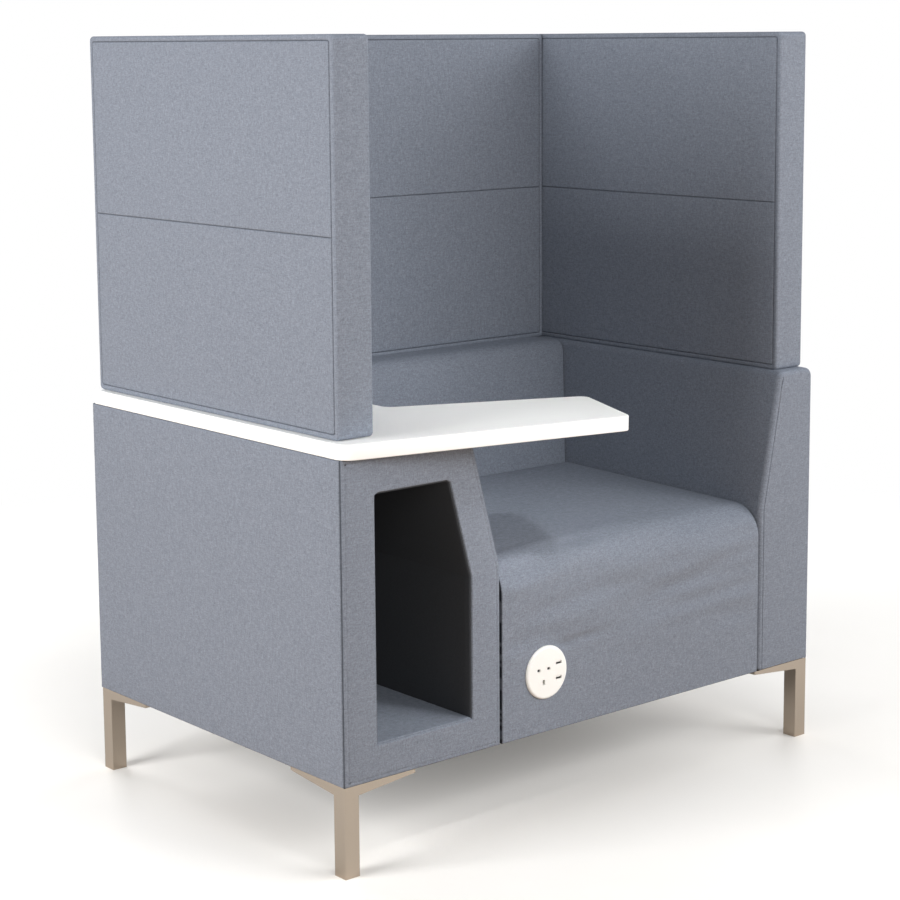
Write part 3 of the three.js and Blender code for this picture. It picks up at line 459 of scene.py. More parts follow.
def distance_to(points, outline):
    """Shortest distance from each point to a closed outline."""
    best = np.full(len(points), 1e9)
    for p, q in zip(outline, np.roll(outline, -1, 0)):
        line = q - p
        t = np.clip(((points - p) @ line) / max(line @ line, 1e-9), 0, 1)
        best = np.minimum(best, np.linalg.norm(points - p - t[:, None] * line, axis=1))
    return best


def inside(points, outline):
    """Whether each point lies within a closed outline."""
    hits = np.zeros(len(points), int)
    for p, q in zip(outline, np.roll(outline, -1, 0)):
        if p[1] == q[1]:
            continue
        crosses = (p[1] > points[:, 1]) != (q[1] > points[:, 1])
        reach = p[0] + (points[:, 1] - p[1]) * (q[0] - p[0]) / (q[1] - p[1])
        hits += crosses & (points[:, 0] < reach)
    return hits % 2 == 1


print("border helpers ready")

# %% [markdown]
# A seam is where two quarter rounds meet: each panel's border lies one lip in from the edge and
# one lip deep, so the two panels of an edge share the same line and weld. A topstitch is a shallow
# groove that runs beside the seam.

# %% Rings of a seam
QUARTER = [(1 - math.cos(t), math.sin(t) - 1) for t in np.radians((0, 22.5, 45, 67.5, 90))]
STITCH_REACH, STITCH_DEPTH, STITCH_FOLD = 1.1, 0.7, 0.25
STITCH_SIDE, LAST_RING = 0.1, 1.5  # mm


def ring_plan(lip, stitch=0.0, skirt=0.0, roll=0.0):
    """Rings that shape a seam: how far in from the border, how high, and how deep in the fold (0 to 1),
    which sets the painted shade there.
    """
    if roll:
        plan = [(-lip * h, -roll - lip + lip * d, -h) for d, h in QUARTER]
        plan += [(roll * d, roll * h, 0) for d, h in QUARTER[1:]]
    else:
        plan = [(0, -lip - skirt, 1)] if skirt else []
        plan += [(lip * d, lip * h, -h) for d, h in QUARTER]
    if stitch:
        plan += [(stitch - STITCH_REACH, -STITCH_SIDE, 0), (stitch, -STITCH_DEPTH, STITCH_FOLD)]
        plan += [(stitch + STITCH_REACH, -STITCH_SIDE, 0)]
    return plan + [(max(plan[-1][0], lip) + LAST_RING, 0, 0)]


def band(low, high, size):
    """Faces between two rings of points that start at low and at high."""
    steps = [(i, (i + 1) % size) for i in range(size)]
    return [(low + i, low + n, high + n, high + i) for i, n in steps]


print("a seam of 4 mm has", len(ring_plan(4.0)), "rings")

# %% [markdown]
# Inside the rings the cloth is a grid. Its lines keep every bend of the surface, and its points stay
# clear of the rings, so that no thin triangle lies beside a seam.

# %% Grid inside the rings
CLEARANCE = 2.0  # mm


def grid_lines(low, high, spacing, breaks):
    """Even lines from low to high that keep every break of the surface."""
    marks = sorted({low, high, *[b for b in breaks if low < b < high]})
    lines = []
    for p, q in zip(marks, marks[1:]):
        lines += list(np.linspace(p, q, max(1, math.ceil((q - p) / spacing)), endpoint=False))
    return np.array(lines + [high])


def grid_points(surface, outline, spacing, rings):
    """Points of a grid within the first ring and outside the others."""
    low, high = outline.min(0), outline.max(0)
    columns = grid_lines(low[0], high[0], spacing, [])
    rows = grid_lines(low[1], high[1], spacing, surface.breaks())
    points = np.stack(np.meshgrid(columns, rows), -1).reshape(-1, 2)
    for k, ring in enumerate(rings):
        within = inside(points, ring)
        points = points[(distance_to(points, ring) > CLEARANCE) & (within if k == 0 else ~within)]
    return points


def inner_faces(rings, starts, points, first):
    """Triangles between the rings and the grid, as numbers of the panel's points."""
    numbers, ties = [], []
    for ring, start in zip(rings, starts):
        ties += [(len(numbers) + i, len(numbers) + (i + 1) % len(ring)) for i in range(len(ring))]
        numbers += range(start, start + len(ring))
    numbers += range(first, first + len(points))
    spots = [Vector(p) for p in np.concatenate([*rings, points])]
    found, _, triangles, source, _, _ = delaunay_2d_cdt(spots, ties, [], 1, 1e-6)
    middles = np.array([np.mean([found[i] for i in t], axis=0) for t in triangles])
    keep = inside(middles, rings[0])
    for ring in rings[1:]:
        keep &= ~inside(middles, ring)
    return [tuple(numbers[source[i][0]] for i in t) for t, k in zip(triangles, keep) if k]


print("grid helpers ready")

# %% [markdown]
# A panel puts these together: the rings of its border and of each hole, then the grid. Relief is the
# slow swell and the small waves of the cloth, and it fades out towards the border, where the seam
# holds the cloth.

# %% One panel
HOLE_SHADE, SHADE_CURVE = 0.2, 1.3


def panel(
    surface, outline, lip, relief, holes=(), hole_lip=0, skirt=0, stitch=0, roll=0, grid=14.0, dark=0.9
):
    """One sewn panel: points in pod millimetres, faces, and the points of its border."""
    outline = np.asarray(outline, float)
    if area_of(outline) < 0:
        outline = outline[::-1]
    borders = [(outline, ring_plan(lip, stitch, roll=roll), dark)]
    for hole in holes:
        hole = np.asarray(hole, float)
        hole = hole[::-1] if area_of(hole) > 0 else hole
        borders.append((hole, ring_plan(hole_lip, skirt=skirt), HOLE_SHADE))
    flat, height, seam, faces, last_rings, starts = [], [], [], [], [], []
    count = 0
    for edge, plan, gloom in borders:
        counts = spread(edge)
        rings = [walk(offset(edge, inward), counts) for inward, _, _ in plan]
        size = len(rings[0])
        for k, (_, level, fold) in enumerate(plan):
            height += [level] * size
            seam += [gloom * fold**SHADE_CURVE] * size
            if k:
                faces += band(count + (k - 1) * size, count + k * size, size)
        flat += rings
        count += len(plan) * size
        last_rings.append(rings[-1])
        starts.append(count - size)
    cells = grid_points(surface, outline, grid, last_rings)
    faces += inner_faces(last_rings, starts, cells, count)
    flat = np.concatenate([*flat, cells])
    height, seam = (np.array([*values, *[0.0] * len(cells)]) for values in (height, seam))
    edge_distance = np.min([distance_to(flat, edge) for edge, _, _ in borders], axis=0)
    height = height + relief(flat[:, 0], flat[:, 1], np.maximum(edge_distance - roll, 0))
    points, out = surface.at(flat[:, 0], flat[:, 1])
    points = points + out * height[:, None]
    rim = int(np.sum(spread(outline)))
    return {"points": points, "faces": faces, "seam": seam, "rim": rim, "outline": outline}


print("panel maker ready")

# %% [markdown]
# The relief of a panel has three sizes: the swell of the foam over the whole panel, slow waves of
# about 120 mm where the cloth was pulled by hand, and short puckers along the seam where the
# thread gathers the cloth. The noise is Blender's own and has no seed to change between runs.

# %% Relief of pulled cloth
WAVE, PUCKER = 120, 11  # mm from one to the next
SWELL_REACH, PUCKER_REACH, HELD, FORM_REACH = 28, 16, 3, 20  # mm from the seam


def waves(a, s, size, shift):
    """Noise with features of a size in mm; shift picks another pattern."""
    return np.array([noise.noise(Vector((x / size, y / size, shift))) for x, y in zip(a, s)])


def smooth(value, low, high):
    """A soft step from 0 at low to 1 at high."""
    t = np.clip((value - low) / (high - low), 0, 1)
    return t * t * (3 - 2 * t)


def pulled(swell=2.0, wave=0.5, pucker=0.25, shift=0.0, extra=None):
    """Relief of a panel: swell in mm over the middle, waves, and puckers close to the seam."""

    def relief(a, s, d):
        """Height at a and s, a distance d from the seam."""
        fade = 1 - np.exp(-d / SWELL_REACH)
        height = swell * fade + wave * fade * waves(a, s, WAVE, shift)
        near_seam = np.exp(-d / PUCKER_REACH) * np.minimum(d / HELD, 1)
        height += pucker * near_seam * waves(a, s, PUCKER, shift + 7)
        if extra is not None:
            height += extra(a, s) * np.minimum(d / FORM_REACH, 1)
        return height

    return relief


def rectangle(a0, a1, s0, s1):
    """Corners of a rectangle, counter-clockwise."""
    return [(a0, s0), (a1, s0), (a1, s1), (a0, s1)]


def border_run(sheet, first, last):
    """Border points of a panel between two corners of its outline, by place in 3D."""
    counts = spread(sheet["outline"])
    start = int(np.sum(counts[:first]))
    stop = int(np.sum(counts[:last])) if last else int(np.sum(counts))
    picks = [i % sheet["rim"] for i in range(start, stop + 1)]
    return sheet["points"][picks]


print("relief ready")

# %% [markdown]
# Panels become one object per upholstered block. The seams weld where the borders meet, the open
# underside is closed, and the block replaces its CAD cover and padding.

# %% Making an upholstered block
WELD = 3e-5  # m


def new_piece(name, shape, slots, nodes=()):
    """An object of the pod's body from a bmesh; its first finish is the main one."""
    bmesh.ops.recalc_face_normals(shape, faces=shape.faces)
    mesh = bpy.data.meshes.new(name)
    shape.to_mesh(mesh)
    shape.free()
    mesh.shade_smooth()
    for slot in slots:
        mesh.materials.append(finishes[slot])
    piece = bpy.data.objects.new(name, mesh)
    bpy.context.scene.collection.objects.link(piece)
    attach(piece, BODY)
    if nodes:
        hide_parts(*nodes)
    print(name, len(mesh.polygons), "faces")
    return piece


def upholster(name, sheets, nodes, caps=()):
    """A closed block of panels sewn together; a cap closes one open end."""
    shape = bmesh.new()
    gloom = shape.verts.layers.float.new("seam")
    # caps lie in the gaps at a block's ends; a seam value of one paints them fully in shade
    flaps = [{"points": c, "faces": [tuple(range(len(c)))], "seam": np.ones(len(c))} for c in caps]
    for sheet in [*sheets, *flaps]:
        made = [shape.verts.new(p) for p in place(sheet["points"])]
        for vertex, value in zip(made, sheet["seam"]):
            vertex[gloom] = value
        for face in sheet["faces"]:
            if len(set(face)) > 2:
                shape.faces.new([made[i] for i in face]).material_index = sheet.get("finish", 0)
    bmesh.ops.remove_doubles(shape, verts=shape.verts, dist=WELD)
    bmesh.ops.holes_fill(shape, edges=[e for e in shape.edges if e.is_boundary], sides=0)
    print(sum(e.is_boundary for e in shape.edges), "open edges in", name)
    piece = new_piece(name, shape, ("fabric", "lining_felt"), nodes)


print("block maker ready")

# %% [markdown]
# ## Storage arm
# A tall box with a sloping inner side and an open niche. Four panels are sewn round it: the two
# sides, the front with the niche cut out, and the back. The front panel has a topstitch beside
# its corner seams.

# %% Storage arm
DEPTH, GROUND, SLOPE = 725.0, 150.2, 454.0
STORAGE, STORAGE_TOP, TOP = 328.0, 269.0, 671.7
LIP = 2.7

left_side = Bent("xz", np.array([(0, GROUND), (0, TOP)], float))
inner_side = Bent("xz", rounded([(STORAGE_TOP, TOP), (STORAGE, SLOPE, 18), (STORAGE, GROUND)]))
left_sheet, inner_sheet = (
    panel(side, rectangle(LIP, DEPTH - LIP, 0, side.span), LIP, relief=relief)
    for side, relief in ((left_side, pulled(2.0, 0.5, 0.4, 1)), (inner_side, pulled(0.2, 0.2, 0.1, 2)))
)
print("storage sides:", len(left_sheet["points"]), "points on the left")

# %% [markdown]
# The niche keeps a border of 60 to 70 mm. Its floor is one panel, and one long panel lines its right
# side, its top and its left side.

# %% Niche
def inset(outline, distances):
    """An outline with each side moved inwards by its own distance."""
    corners = np.array(outline, float)
    moved = []
    for i in range(len(corners)):
        lines = []
        for k in (i - 1, i):
            p, q = corners[k], corners[(k + 1) % len(corners)]
            way = (q - p) / np.linalg.norm(q - p)
            lines.append((p + np.array([-way[1], way[0]]) * distances[k], way))
        (p, u), (q, v) = lines
        t = np.linalg.solve(np.stack([u, -v], 1), q - p)[0]
        moved.append(p + t * u)
    return moved


NICHE_BORDERS = [60, 65, 65, 62, 70]
RIM, NICHE_BACK = 2.5, 462.0
storage_outline = [(0, 150), (STORAGE, 150), (STORAGE, SLOPE), (STORAGE_TOP, TOP), (0, TOP)]
niche_corners = inset(storage_outline, NICHE_BORDERS)
foot_left, foot_right, bend, head_right, head_left = niche_corners
drop = np.array([0, RIM])
niche_floor = Bent("xz", np.array([foot_left - [RIM, 0], foot_right + [RIM, 0]]))
wall_path = [foot_right - drop, (*bend, 3), (*head_right, 3), (*head_left, 3), foot_left - drop]
niche_wall = Bent("xz", rounded(wall_path, step=1.5))
floor_sheet, wall_sheet = (
    panel(face, rectangle(RIM, NICHE_BACK + RIM, 0, face.span), RIM, relief=relief, dark=0.3)
    for face, relief in ((niche_floor, pulled(0.2, 0.2, 0.1, 5)), (niche_wall, pulled(0.2, 0.2, 0.1, 6)))
)
niche_hole, niche_end = (
    np.concatenate([border_run(sheet, *run)[::way][:-1, (0, 2)] for sheet in (floor_sheet, wall_sheet)])
    for run, way in (((3, 0), -1), ((1, 2), 1))
)
print("niche:", len(niche_hole), "points round its opening")

# %% [markdown]
# The front and the rear take their outlines from the sides and the niche, so that all of them weld.

# %% Front and rear of the storage arm
storage_rim = [
    np.concatenate([border_run(left_sheet, *run)[:, (0, 2)], border_run(inner_sheet, *run)[:, (0, 2)]])
    for run in ((3, 0), (1, 2))
]
front_face = Flat((0, 0, 0), (1, 0, 0), (0, 0, 1), (0, -1, 0))
rear_face = Flat((0, DEPTH, 0), (1, 0, 0), (0, 0, 1), (0, 1, 0))
front_relief = pulled(0.9, 0.4, 0.3, 3)
front_sheet = panel(
    front_face, storage_rim[0], LIP, front_relief, holes=[niche_hole], hole_lip=RIM, stitch=7.0
)
rear_sheet = panel(rear_face, storage_rim[1], LIP, relief=pulled(1.5, 0.5, 0.3, 4))
print("storage panels:", len(front_sheet["points"]), "points on the front")

# %% [markdown]
# The niche has a floor of the same wool, while its walls and back are lined with felt coloured near
# black, partly a charcoal felt and partly painted shade deeper than the lamps give there. The front
# panel folds over the rim, so the arm and its lining are one sewn piece.

# %% Niche lining
end_face = Flat((0, NICHE_BACK, 0), (1, 0, 0), (0, 0, 1), (0, -1, 0))
end_sheet = panel(end_face, niche_end, RIM, relief=pulled(0.4, 0.2, 0.1, 7))
# the walls and back take the near-black lining, partly painted shade
for sheet in (wall_sheet, end_sheet):
    sheet["finish"] = 1
upholster(
    "storage_upholstery",
    [left_sheet, inner_sheet, front_sheet, rear_sheet, floor_sheet, wall_sheet, end_sheet],
    ["storage_cover", "storage_wadding", "niche_lining"],
)

# %% [markdown]
# ## Plain arm
# One long panel wraps the plain arm from its inner foot over the top to its outer foot. Its edges
# roll softly on to the front and the back, where a panel closes the arm. The seam shows on the
# inner side, where the cloth is pulled tight; at the top and the outside it lies flat.

# %% Plain arm
WIDTH, ARM, ARM_TOP, ARM_HEIGHT = 1100.0, 960.0, 1010.0, 703.0
ROLL, FOLD = 9.0, 1.6
SEAM_FADES, SEAM_ENDS = ARM_HEIGHT - 45, ARM_HEIGHT - 20
arm_path = [(ARM, GROUND), (ARM, SLOPE, 18), (ARM_TOP, ARM_HEIGHT, 12)]
arm_path += [(WIDTH, ARM_HEIGHT, 16), (WIDTH, GROUND)]
arm_wrap = Bent("xz", rounded(arm_path))
wrap_sheet = panel(
    arm_wrap, rectangle(0, DEPTH, 0, arm_wrap.span), FOLD, roll=ROLL, relief=pulled(0.8, 0.5, 0.3, 8)
)
arm_sheets = [wrap_sheet]
for face, run, shift in ((front_face, (3, 0), 9), (rear_face, (1, 2), 10)):
    rim = border_run(wrap_sheet, *run)[:, (0, 2)]
    arm_sheets.append(panel(face, rim, FOLD, relief=pulled(1.2, 0.4, 0.3, shift)))


def lay_flat(sheet, plane):
    """Lays the fold of a seam flat against a plane of y, away from the arm's inner side."""
    x, y, z = sheet["points"].T
    fold = (np.arange(len(y)) < len(QUARTER) * sheet["rim"]) & (np.abs(y - plane) < FOLD + 0.01)
    inner = np.interp(z, [SLOPE, ARM_HEIGHT], [ARM, ARM_TOP]) + ROLL + 3 * FOLD
    share = np.where(x < inner, 1 - smooth(z, SEAM_FADES, SEAM_ENDS), 0)
    y[fold] = plane + (y - plane)[fold] * share[fold]
    # where the fold lies flat, its painted seam shade fades out too
    sheet["seam"][fold] *= share[fold]


_, arm_front, arm_rear = arm_sheets
for sheet, plane in ((wrap_sheet, 0), (wrap_sheet, DEPTH), (arm_front, 0), (arm_rear, DEPTH)):
    lay_flat(sheet, plane)
upholster("right_arm_upholstery", arm_sheets, ["right_arm_cover", "right_arm_wadding"])

# %% [markdown]
# ## Seat
# The seat is one sprung cushion block: the cloth runs up the front, rolls over a soft nose and
# goes back under the backrest. It is pulled down at both sides, so it crowns in the middle. Small
# cross waves lie on the front where the cloth is eased over the nose, and one crease runs from
# the power module.

# %% Seat
SEAT_LEFT, SEAT_RIGHT, SEAT_BACK = 328.6, 959.4, 515.4
SEAT_FRONT_TOP, SEAT_BACK_TOP, NOSE = 460, 470, 58
MODULE, MODULE_HOLE, SIDE_LIP = (427.5, 255.0), 41, 2.0
CROWN, FRONT_SWELL, EASE, CREASE = 8.5, 3.0, 6.0, 6.0  # mm high or deep
CREASE_HEIGHT, CREASE_RISE, CREASE_WIDTH = 141, 0.1, 4.5
seat_path = [(0, GROUND), (0, SEAT_FRONT_TOP, NOSE), (SEAT_BACK, SEAT_BACK_TOP, 7), (SEAT_BACK, GROUND)]
seat_wrap = Bent("yz", rounded(seat_path, step=5.0))


def between(value, start, full, fading, end):
    """One from full to fading, and nothing before start or after end."""
    return smooth(value, start, full) * (1 - smooth(value, fading, end))


def seat_form(a, s):
    """Crown, swell, eased waves and crease; s is 0 at the front's foot, 250 to 340 on the nose."""
    u = (a - (SEAT_LEFT + SEAT_RIGHT) / 2) / ((SEAT_RIGHT - SEAT_LEFT) / 2)
    form = CROWN * (1 - u * u) * between(s, 230, 420, 760, 800)
    form += FRONT_SWELL * (1 - u * u) * between(s, 0, 140, 230, 330)
    form += EASE * waves(a / 5, s - 0.05 * a, 30, 11) * between(s, 60, 180, 300, 400)
    away = smooth(np.hypot(a - MODULE[0], s + GROUND - MODULE[1]), 44, 85)
    from_crease = s - CREASE_HEIGHT - CREASE_RISE * (a - MODULE[0])
    crease = CREASE * np.exp(-((from_crease / CREASE_WIDTH) ** 2)) * between(a, 445, 460, 475, 620)
    return form * away - crease


def circle(middle, radius, count):
    """Points of a circle."""
    turns = np.linspace(0, math.tau, count, endpoint=False)
    return [(middle[0] + radius * math.cos(t), middle[1] + radius * math.sin(t)) for t in turns]


seat_sheet = panel(
    seat_wrap,
    rectangle(SEAT_LEFT + SIDE_LIP, SEAT_RIGHT - SIDE_LIP, 0, seat_wrap.span),
    SIDE_LIP,
    holes=[circle((MODULE[0], MODULE[1] - GROUND), MODULE_HOLE, 64)],
    hole_lip=1.0,
    skirt=3.0,
    relief=pulled(0.5, 0.5, 0.5, 12, seat_form),
    grid=7.0,
    dark=0.5,
)
ends = [border_run(seat_sheet, 1, 2), border_run(seat_sheet, 3, 0)]
upholster("seat_upholstery", [seat_sheet], ["seat_cover", "seat_foam"], caps=ends)

# %% [markdown]
# ## Back
# The back leans between the arms and fills the wedge between their slopes, so its panel is cut
# wider at the top. It rolls over its upper edge and runs level to the back screen.

# %% Back
BACK_FOOT, BACK_BEND, BACK_FRONT, BACK_TOP, SIDE_GAP = 430, 462, 516, 574.3, 0.6
back_path = [(BACK_FRONT, BACK_FOOT), (BACK_FRONT, BACK_BEND, 40), (BACK_TOP, ARM_HEIGHT, 26)]
back_path += [(DEPTH, ARM_HEIGHT, 10), (DEPTH, GROUND)]
back_wrap = Bent("yz", rounded(back_path))


def along_back(height, rear):
    """Length along the back's profile at a height, on its front or rear side."""
    z = back_wrap.profile[:, 1]
    top = int(np.argmax(z))
    part = slice(top, None) if rear else slice(0, top + 1)
    order = -1 if rear else 1
    return float(np.interp(height, z[part][::order], back_wrap.length[part][::order]))


def back_sides(height):
    """Left and right border of the back's panel, between the slopes of the arms."""
    left = np.interp(height, [SLOPE, TOP], [STORAGE, STORAGE_TOP]) + SIDE_GAP
    right = np.interp(height, [SLOPE, ARM_HEIGHT], [ARM, ARM_TOP]) - SIDE_GAP
    return left + SIDE_LIP, right - SIDE_LIP


heights = [(h, False) for h in (BACK_FOOT, SLOPE, TOP, ARM_HEIGHT - 1)]
heights += [(h, True) for h in (ARM_HEIGHT - 1, TOP, SLOPE, GROUND)]
marks = [(along_back(h, rear), *back_sides(h)) for h, rear in heights]
back_outline = [(right, s) for s, _, right in marks] + [(left, s) for s, left, _ in marks[::-1]]
back_sheet = panel(back_wrap, back_outline, SIDE_LIP, relief=pulled(4.0, 0.8, 0.4, 14), grid=12.0)
side = len(marks)
ends = [border_run(back_sheet, 0, side - 1), border_run(back_sheet, side, 2 * side - 1)]
upholster("back_upholstery", [back_sheet], ["back_cover", "back_foam"], caps=ends)

# %% [markdown]
# ## Screens
# Each screen is a board wrapped in acoustic foam. A boxing strip runs round its edge and laps a
# little on to both faces, where it is sewn to the face panels, and each face is two panels with a
# seam at half height.

# %% Screens
LAP, EDGE, SEAM = 9.5, 4.5, 2.6
SCREEN_TOP, MIDDLE, CORNER, INNER_CORNER = 1316.0, 1010.0, 8.0, 4.2
SCREEN_FRONT, SCREEN_REAR, ON_WORKTOP, ON_ARM = 18, 715, 697.3, ARM_HEIGHT + 0.3
STRIP_SHADES = {0: 0.9, 1: 0.35}  # by rings away from the seam


def strip_section(thickness):
    """Insets from the edge and places across the thickness of the boxing strip."""
    lap, bend = np.radians((0, 30, 60, 90)), np.radians((0, 18, 36, 54, 72, 90))
    side = [(LAP - SEAM * (1 - math.cos(t)), SEAM * (1 - math.sin(t))) for t in lap]
    side += [(EDGE * (1 - math.sin(t)), EDGE * (1 - math.cos(t))) for t in bend]
    flat = [(0, thickness * t) for t in (0.25, 0.5, 0.75)]
    return side + flat + [(e, thickness - t) for e, t in side[::-1]]


def screen(name, u0, u1, bottom, near, far, across):
    """A screen over u0..u1 and bottom..top, between two face planes; across is 'x' or 'y'."""

    def loop(inward):
        """The screen's outline moved inwards, its corners never sharper than a sewn one."""
        low, high, left, right = bottom + inward, SCREEN_TOP - inward, u0 + inward, u1 - inward
        r = max(CORNER - inward, INNER_CORNER)
        corners = [(left, low, r), (right, low, r), (right, MIDDLE), (right, high, r), (left, high, r)]
        return rounded([*corners, (left, MIDDLE)], closed=True, count=4)

    counts = spread(loop(0))
    points, gloom, faces = [], [], []
    section = strip_section(far - near)
    for k, (inward, t) in enumerate(section):
        u, z = walk(loop(inward), counts).T
        depth = np.full(len(u), near + t)
        points.append(np.stack([depth, u, z] if across == "x" else [u, depth, z], 1))
        gloom.append(np.full(len(u), STRIP_SHADES.get(min(k, len(section) - 1 - k), 0)))
        if k:
            faces += band((k - 1) * len(u), k * len(u), len(u))
    sheets = [{"points": np.concatenate(points), "faces": faces, "seam": np.concatenate(gloom)}]

    rim = walk(loop(LAP), counts)
    halves = [rim[rim[:, 1] >= MIDDLE - 1e-6], rim[rim[:, 1] <= MIDDLE + 1e-6]]
    ahead, along = np.eye(3)[[0, 1] if across == "x" else [1, 0]]
    for side, (plane, way) in enumerate(((near, -1), (far, 1))):
        face = Flat(plane * ahead, along, (0, 0, 1), way * ahead)
        for part, border in enumerate(halves):
            order = np.argsort(np.arctan2(*(border - border.mean(0)).T[::-1]))
            relief = pulled(0.8, 0.35, 0.25, 20 + 2 * side + part + near / 100)
            sheets.append(panel(face, border[order], SEAM, relief=relief, grid=16.0))
    upholster(f"{name}_upholstery", sheets, [f"{name}_cover", f"{name}_foam"])


screen("left_screen", SCREEN_FRONT, SCREEN_REAR, ON_WORKTOP, 12, 82, "x")
screen("right_screen", SCREEN_FRONT, SCREEN_REAR, ON_ARM, 1018, 1088, "x")
screen("back_screen", 82.6, 1017.4, ON_ARM, 645, SCREEN_REAR, "y")

# %% [markdown]
# ## Worktop
# A 25 mm laminated board. It covers the storage arm and its wing reaches out over the seat. The
# edges are softened by the router, so each edge carries a thin highlight; a fine joint shows
# between the laminate and its edge band.

# %% Worktop
ARRIS, LEDGE, BOARD, UNDER = 1.2, 1.4, 25, 672.0
worktop_path = rounded(
    [(0, -10, 28), (509, -117, 16), (593.5, 76, 16), (267, 218, 20), (267, 723, 4), (0, 723, 14)],
    closed=True,
    step=2.0,
)
levels = [(ARRIS + LEDGE, 0), (ARRIS, 0)]
levels += [(ARRIS * (1 - math.sin(t)), ARRIS * (1 - math.cos(t))) for t in np.radians((30, 60, 90))]
levels += [(e, BOARD - z) for e, z in levels[::-1]]
shape = bmesh.new()
rings = []
for inward, height in levels:
    ring = offset(worktop_path, inward)
    spots = place(np.c_[ring, np.full(len(ring), UNDER + height)])
    rings.append([shape.verts.new(p) for p in spots])
for k, (low, high) in enumerate(zip(rings, rings[1:])):
    pair = low + high
    for face in band(0, len(low), len(low)):
        banded = shape.faces.new([pair[i] for i in face])
        banded.material_index = int(0 < k < len(rings) - 2)
shape.faces.new(rings[-1])
shape.faces.new(rings[0][::-1])
new_piece("worktop_laminated", shape, ("laminate", "edge_band"), ["worktop_board", "worktop_edging"])

# %% [markdown]
# ## Legs
# The cast legs keep their CAD shape. A small bevel on every edge catches the light the way a
# polished casting does.

# %% Legs
SOFTENED = 0.0012  # m
for name in ("front_left", "front_right", "back_right", "back_left"):
    leg = bpy.data.objects[f"{name}_leg"]
    edge = leg.modifiers.new("softened_edges", "BEVEL")
    edge.width, edge.segments, edge.limit_method, edge.harden_normals = SOFTENED, 3, "ANGLE", True
    print(leg.name, "edges softened")

# %% [markdown]
# ## Power module
# The module's face is one smooth white moulding, slightly domed, with a rounded rim that presses on
# the cloth. It is a panel with a hard finish: the same rings that make a seam make the moulded
# edges of the pin slots and of the two charger ports.

# %% Face of the power module
FACE, RADIUS, DOME = -4.7, 46.0, 0.7
SOCKET, PORTS = (418.86, 255.0), (453.16, 255.0)
PIN_ASIDE, PIN_RISE, EARTH_DROP, PORT_ASIDE = 11.1, 6.5, 15.7, 13
PIN_SLOT, EARTH_SLOT, PORT_SLOT, SLOT_CORNER = (6.4, 4.6), (4.6, 8.6), (13.0, 5.6), 0.9


def slot_hole(x, z, size):
    """Outline of a slot of a width and a height, with softened corners."""
    signs = ((-1, -1), (1, -1), (1, 1), (-1, 1))
    corners = [(x + sx * size[0] / 2, z + sz * size[1] / 2, SLOT_CORNER) for sx, sz in signs]
    return rounded(corners, closed=True, count=3)


def dome(a, s, d):
    """Height of the face above its rim's plane."""
    return DOME * (1 - np.hypot(a - MODULE[0], s - MODULE[1]) ** 2 / RADIUS**2)


pins = SOCKET[1] + PIN_RISE
slots = [slot_hole(SOCKET[0] + dx, pins, PIN_SLOT) for dx in (-PIN_ASIDE, PIN_ASIDE)]
slots += [slot_hole(SOCKET[0], SOCKET[1] - EARTH_DROP, EARTH_SLOT)]
slots += [slot_hole(PORTS[0], PORTS[1] + dz, PORT_SLOT) for dz in (-PORT_ASIDE, PORT_ASIDE)]
face_sheet = panel(
    Flat((0, FACE, 0), (1, 0, 0), (0, 0, 1), (0, -1, 0)),
    circle(MODULE, RADIUS, 72),
    4.0,
    holes=slots,
    hole_lip=0.5,
    skirt=1.8,
    relief=dome,
    grid=5.0,
)
shape = bmesh.new()
made = [shape.verts.new(p) for p in place(face_sheet["points"])]
for face in face_sheet["faces"]:
    shape.faces.new([made[i] for i in face])
new_piece("module_face", shape, ["white_plastic"], ["module_body", "socket_face", "charger_face"])

# %% [markdown]
# A white tongue with the contacts sits in the upper half of each port. The moulding behind it is
# coloured black as painted shade, so the port reads as deep.

# %% Tongues of the charger ports
TONGUE, TONGUE_EDGE = (0.0112, 0.0048, 0.0022, 1), 0.0004  # m
TONGUE_DEPTH, TONGUE_RISE = -1.2, 1.1
shape = bmesh.new()
for dz in (-PORT_ASIDE, PORT_ASIDE):
    middle = place((PORTS[0], TONGUE_DEPTH, PORTS[1] + dz + TONGUE_RISE))
    bmesh.ops.create_cube(shape, matrix=Matrix.Translation(middle) @ Matrix.Diagonal(TONGUE))
bmesh.ops.bevel(shape, geom=shape.edges[:], offset=TONGUE_EDGE, segments=2, affect="EDGES")
new_piece("port_tongues", shape, ["white_plastic"])
# the black inside the ports is painted shade
bpy.data.objects["charger_ports"].data.materials[0] = finishes["black_plastic"]

# %% [markdown]
# ## Shutter spring
# A coil of zinc-plated wire holds the safety shutter down; its upper end rests in the socket base.
# When the shutter slides up the real coil shortens towards that end; here it is made at rest.

# %% Shutter spring
TURNS, PER_TURN, AROUND = 6, 16, 8
WIRE, TRAVEL = 0.00025, 0.006  # m: radius of the wire, and how far the shutter slides
coil_low, coil_high = (np.array(v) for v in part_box("shutter_spring"))
coil_middle = (coil_low + coil_high) / 2
coil_length = coil_high[2] - coil_low[2]
coil_radius = (coil_high[0] - coil_low[0]) / 2 - WIRE
section = np.arange(AROUND) * math.tau / AROUND
shape = bmesh.new()
hoops = []
for t in np.linspace(0, 1, TURNS * PER_TURN + 1):
    outward = np.array((math.cos(math.tau * TURNS * t), math.sin(math.tau * TURNS * t), 0))
    core = coil_middle + coil_radius * outward + [0, 0, (t - 0.5) * (coil_length - 2 * WIRE)]
    ways = [math.cos(v) * outward + [0, 0, math.sin(v)] for v in section]
    hoops.append([shape.verts.new(core + WIRE * way) for way in ways])
for low, high in zip(hoops, hoops[1:]):
    pair = low + high
    for face in band(0, AROUND, AROUND):
        shape.faces.new([pair[i] for i in face])
shape.faces.new(hoops[0])
shape.faces.new(hoops[-1])
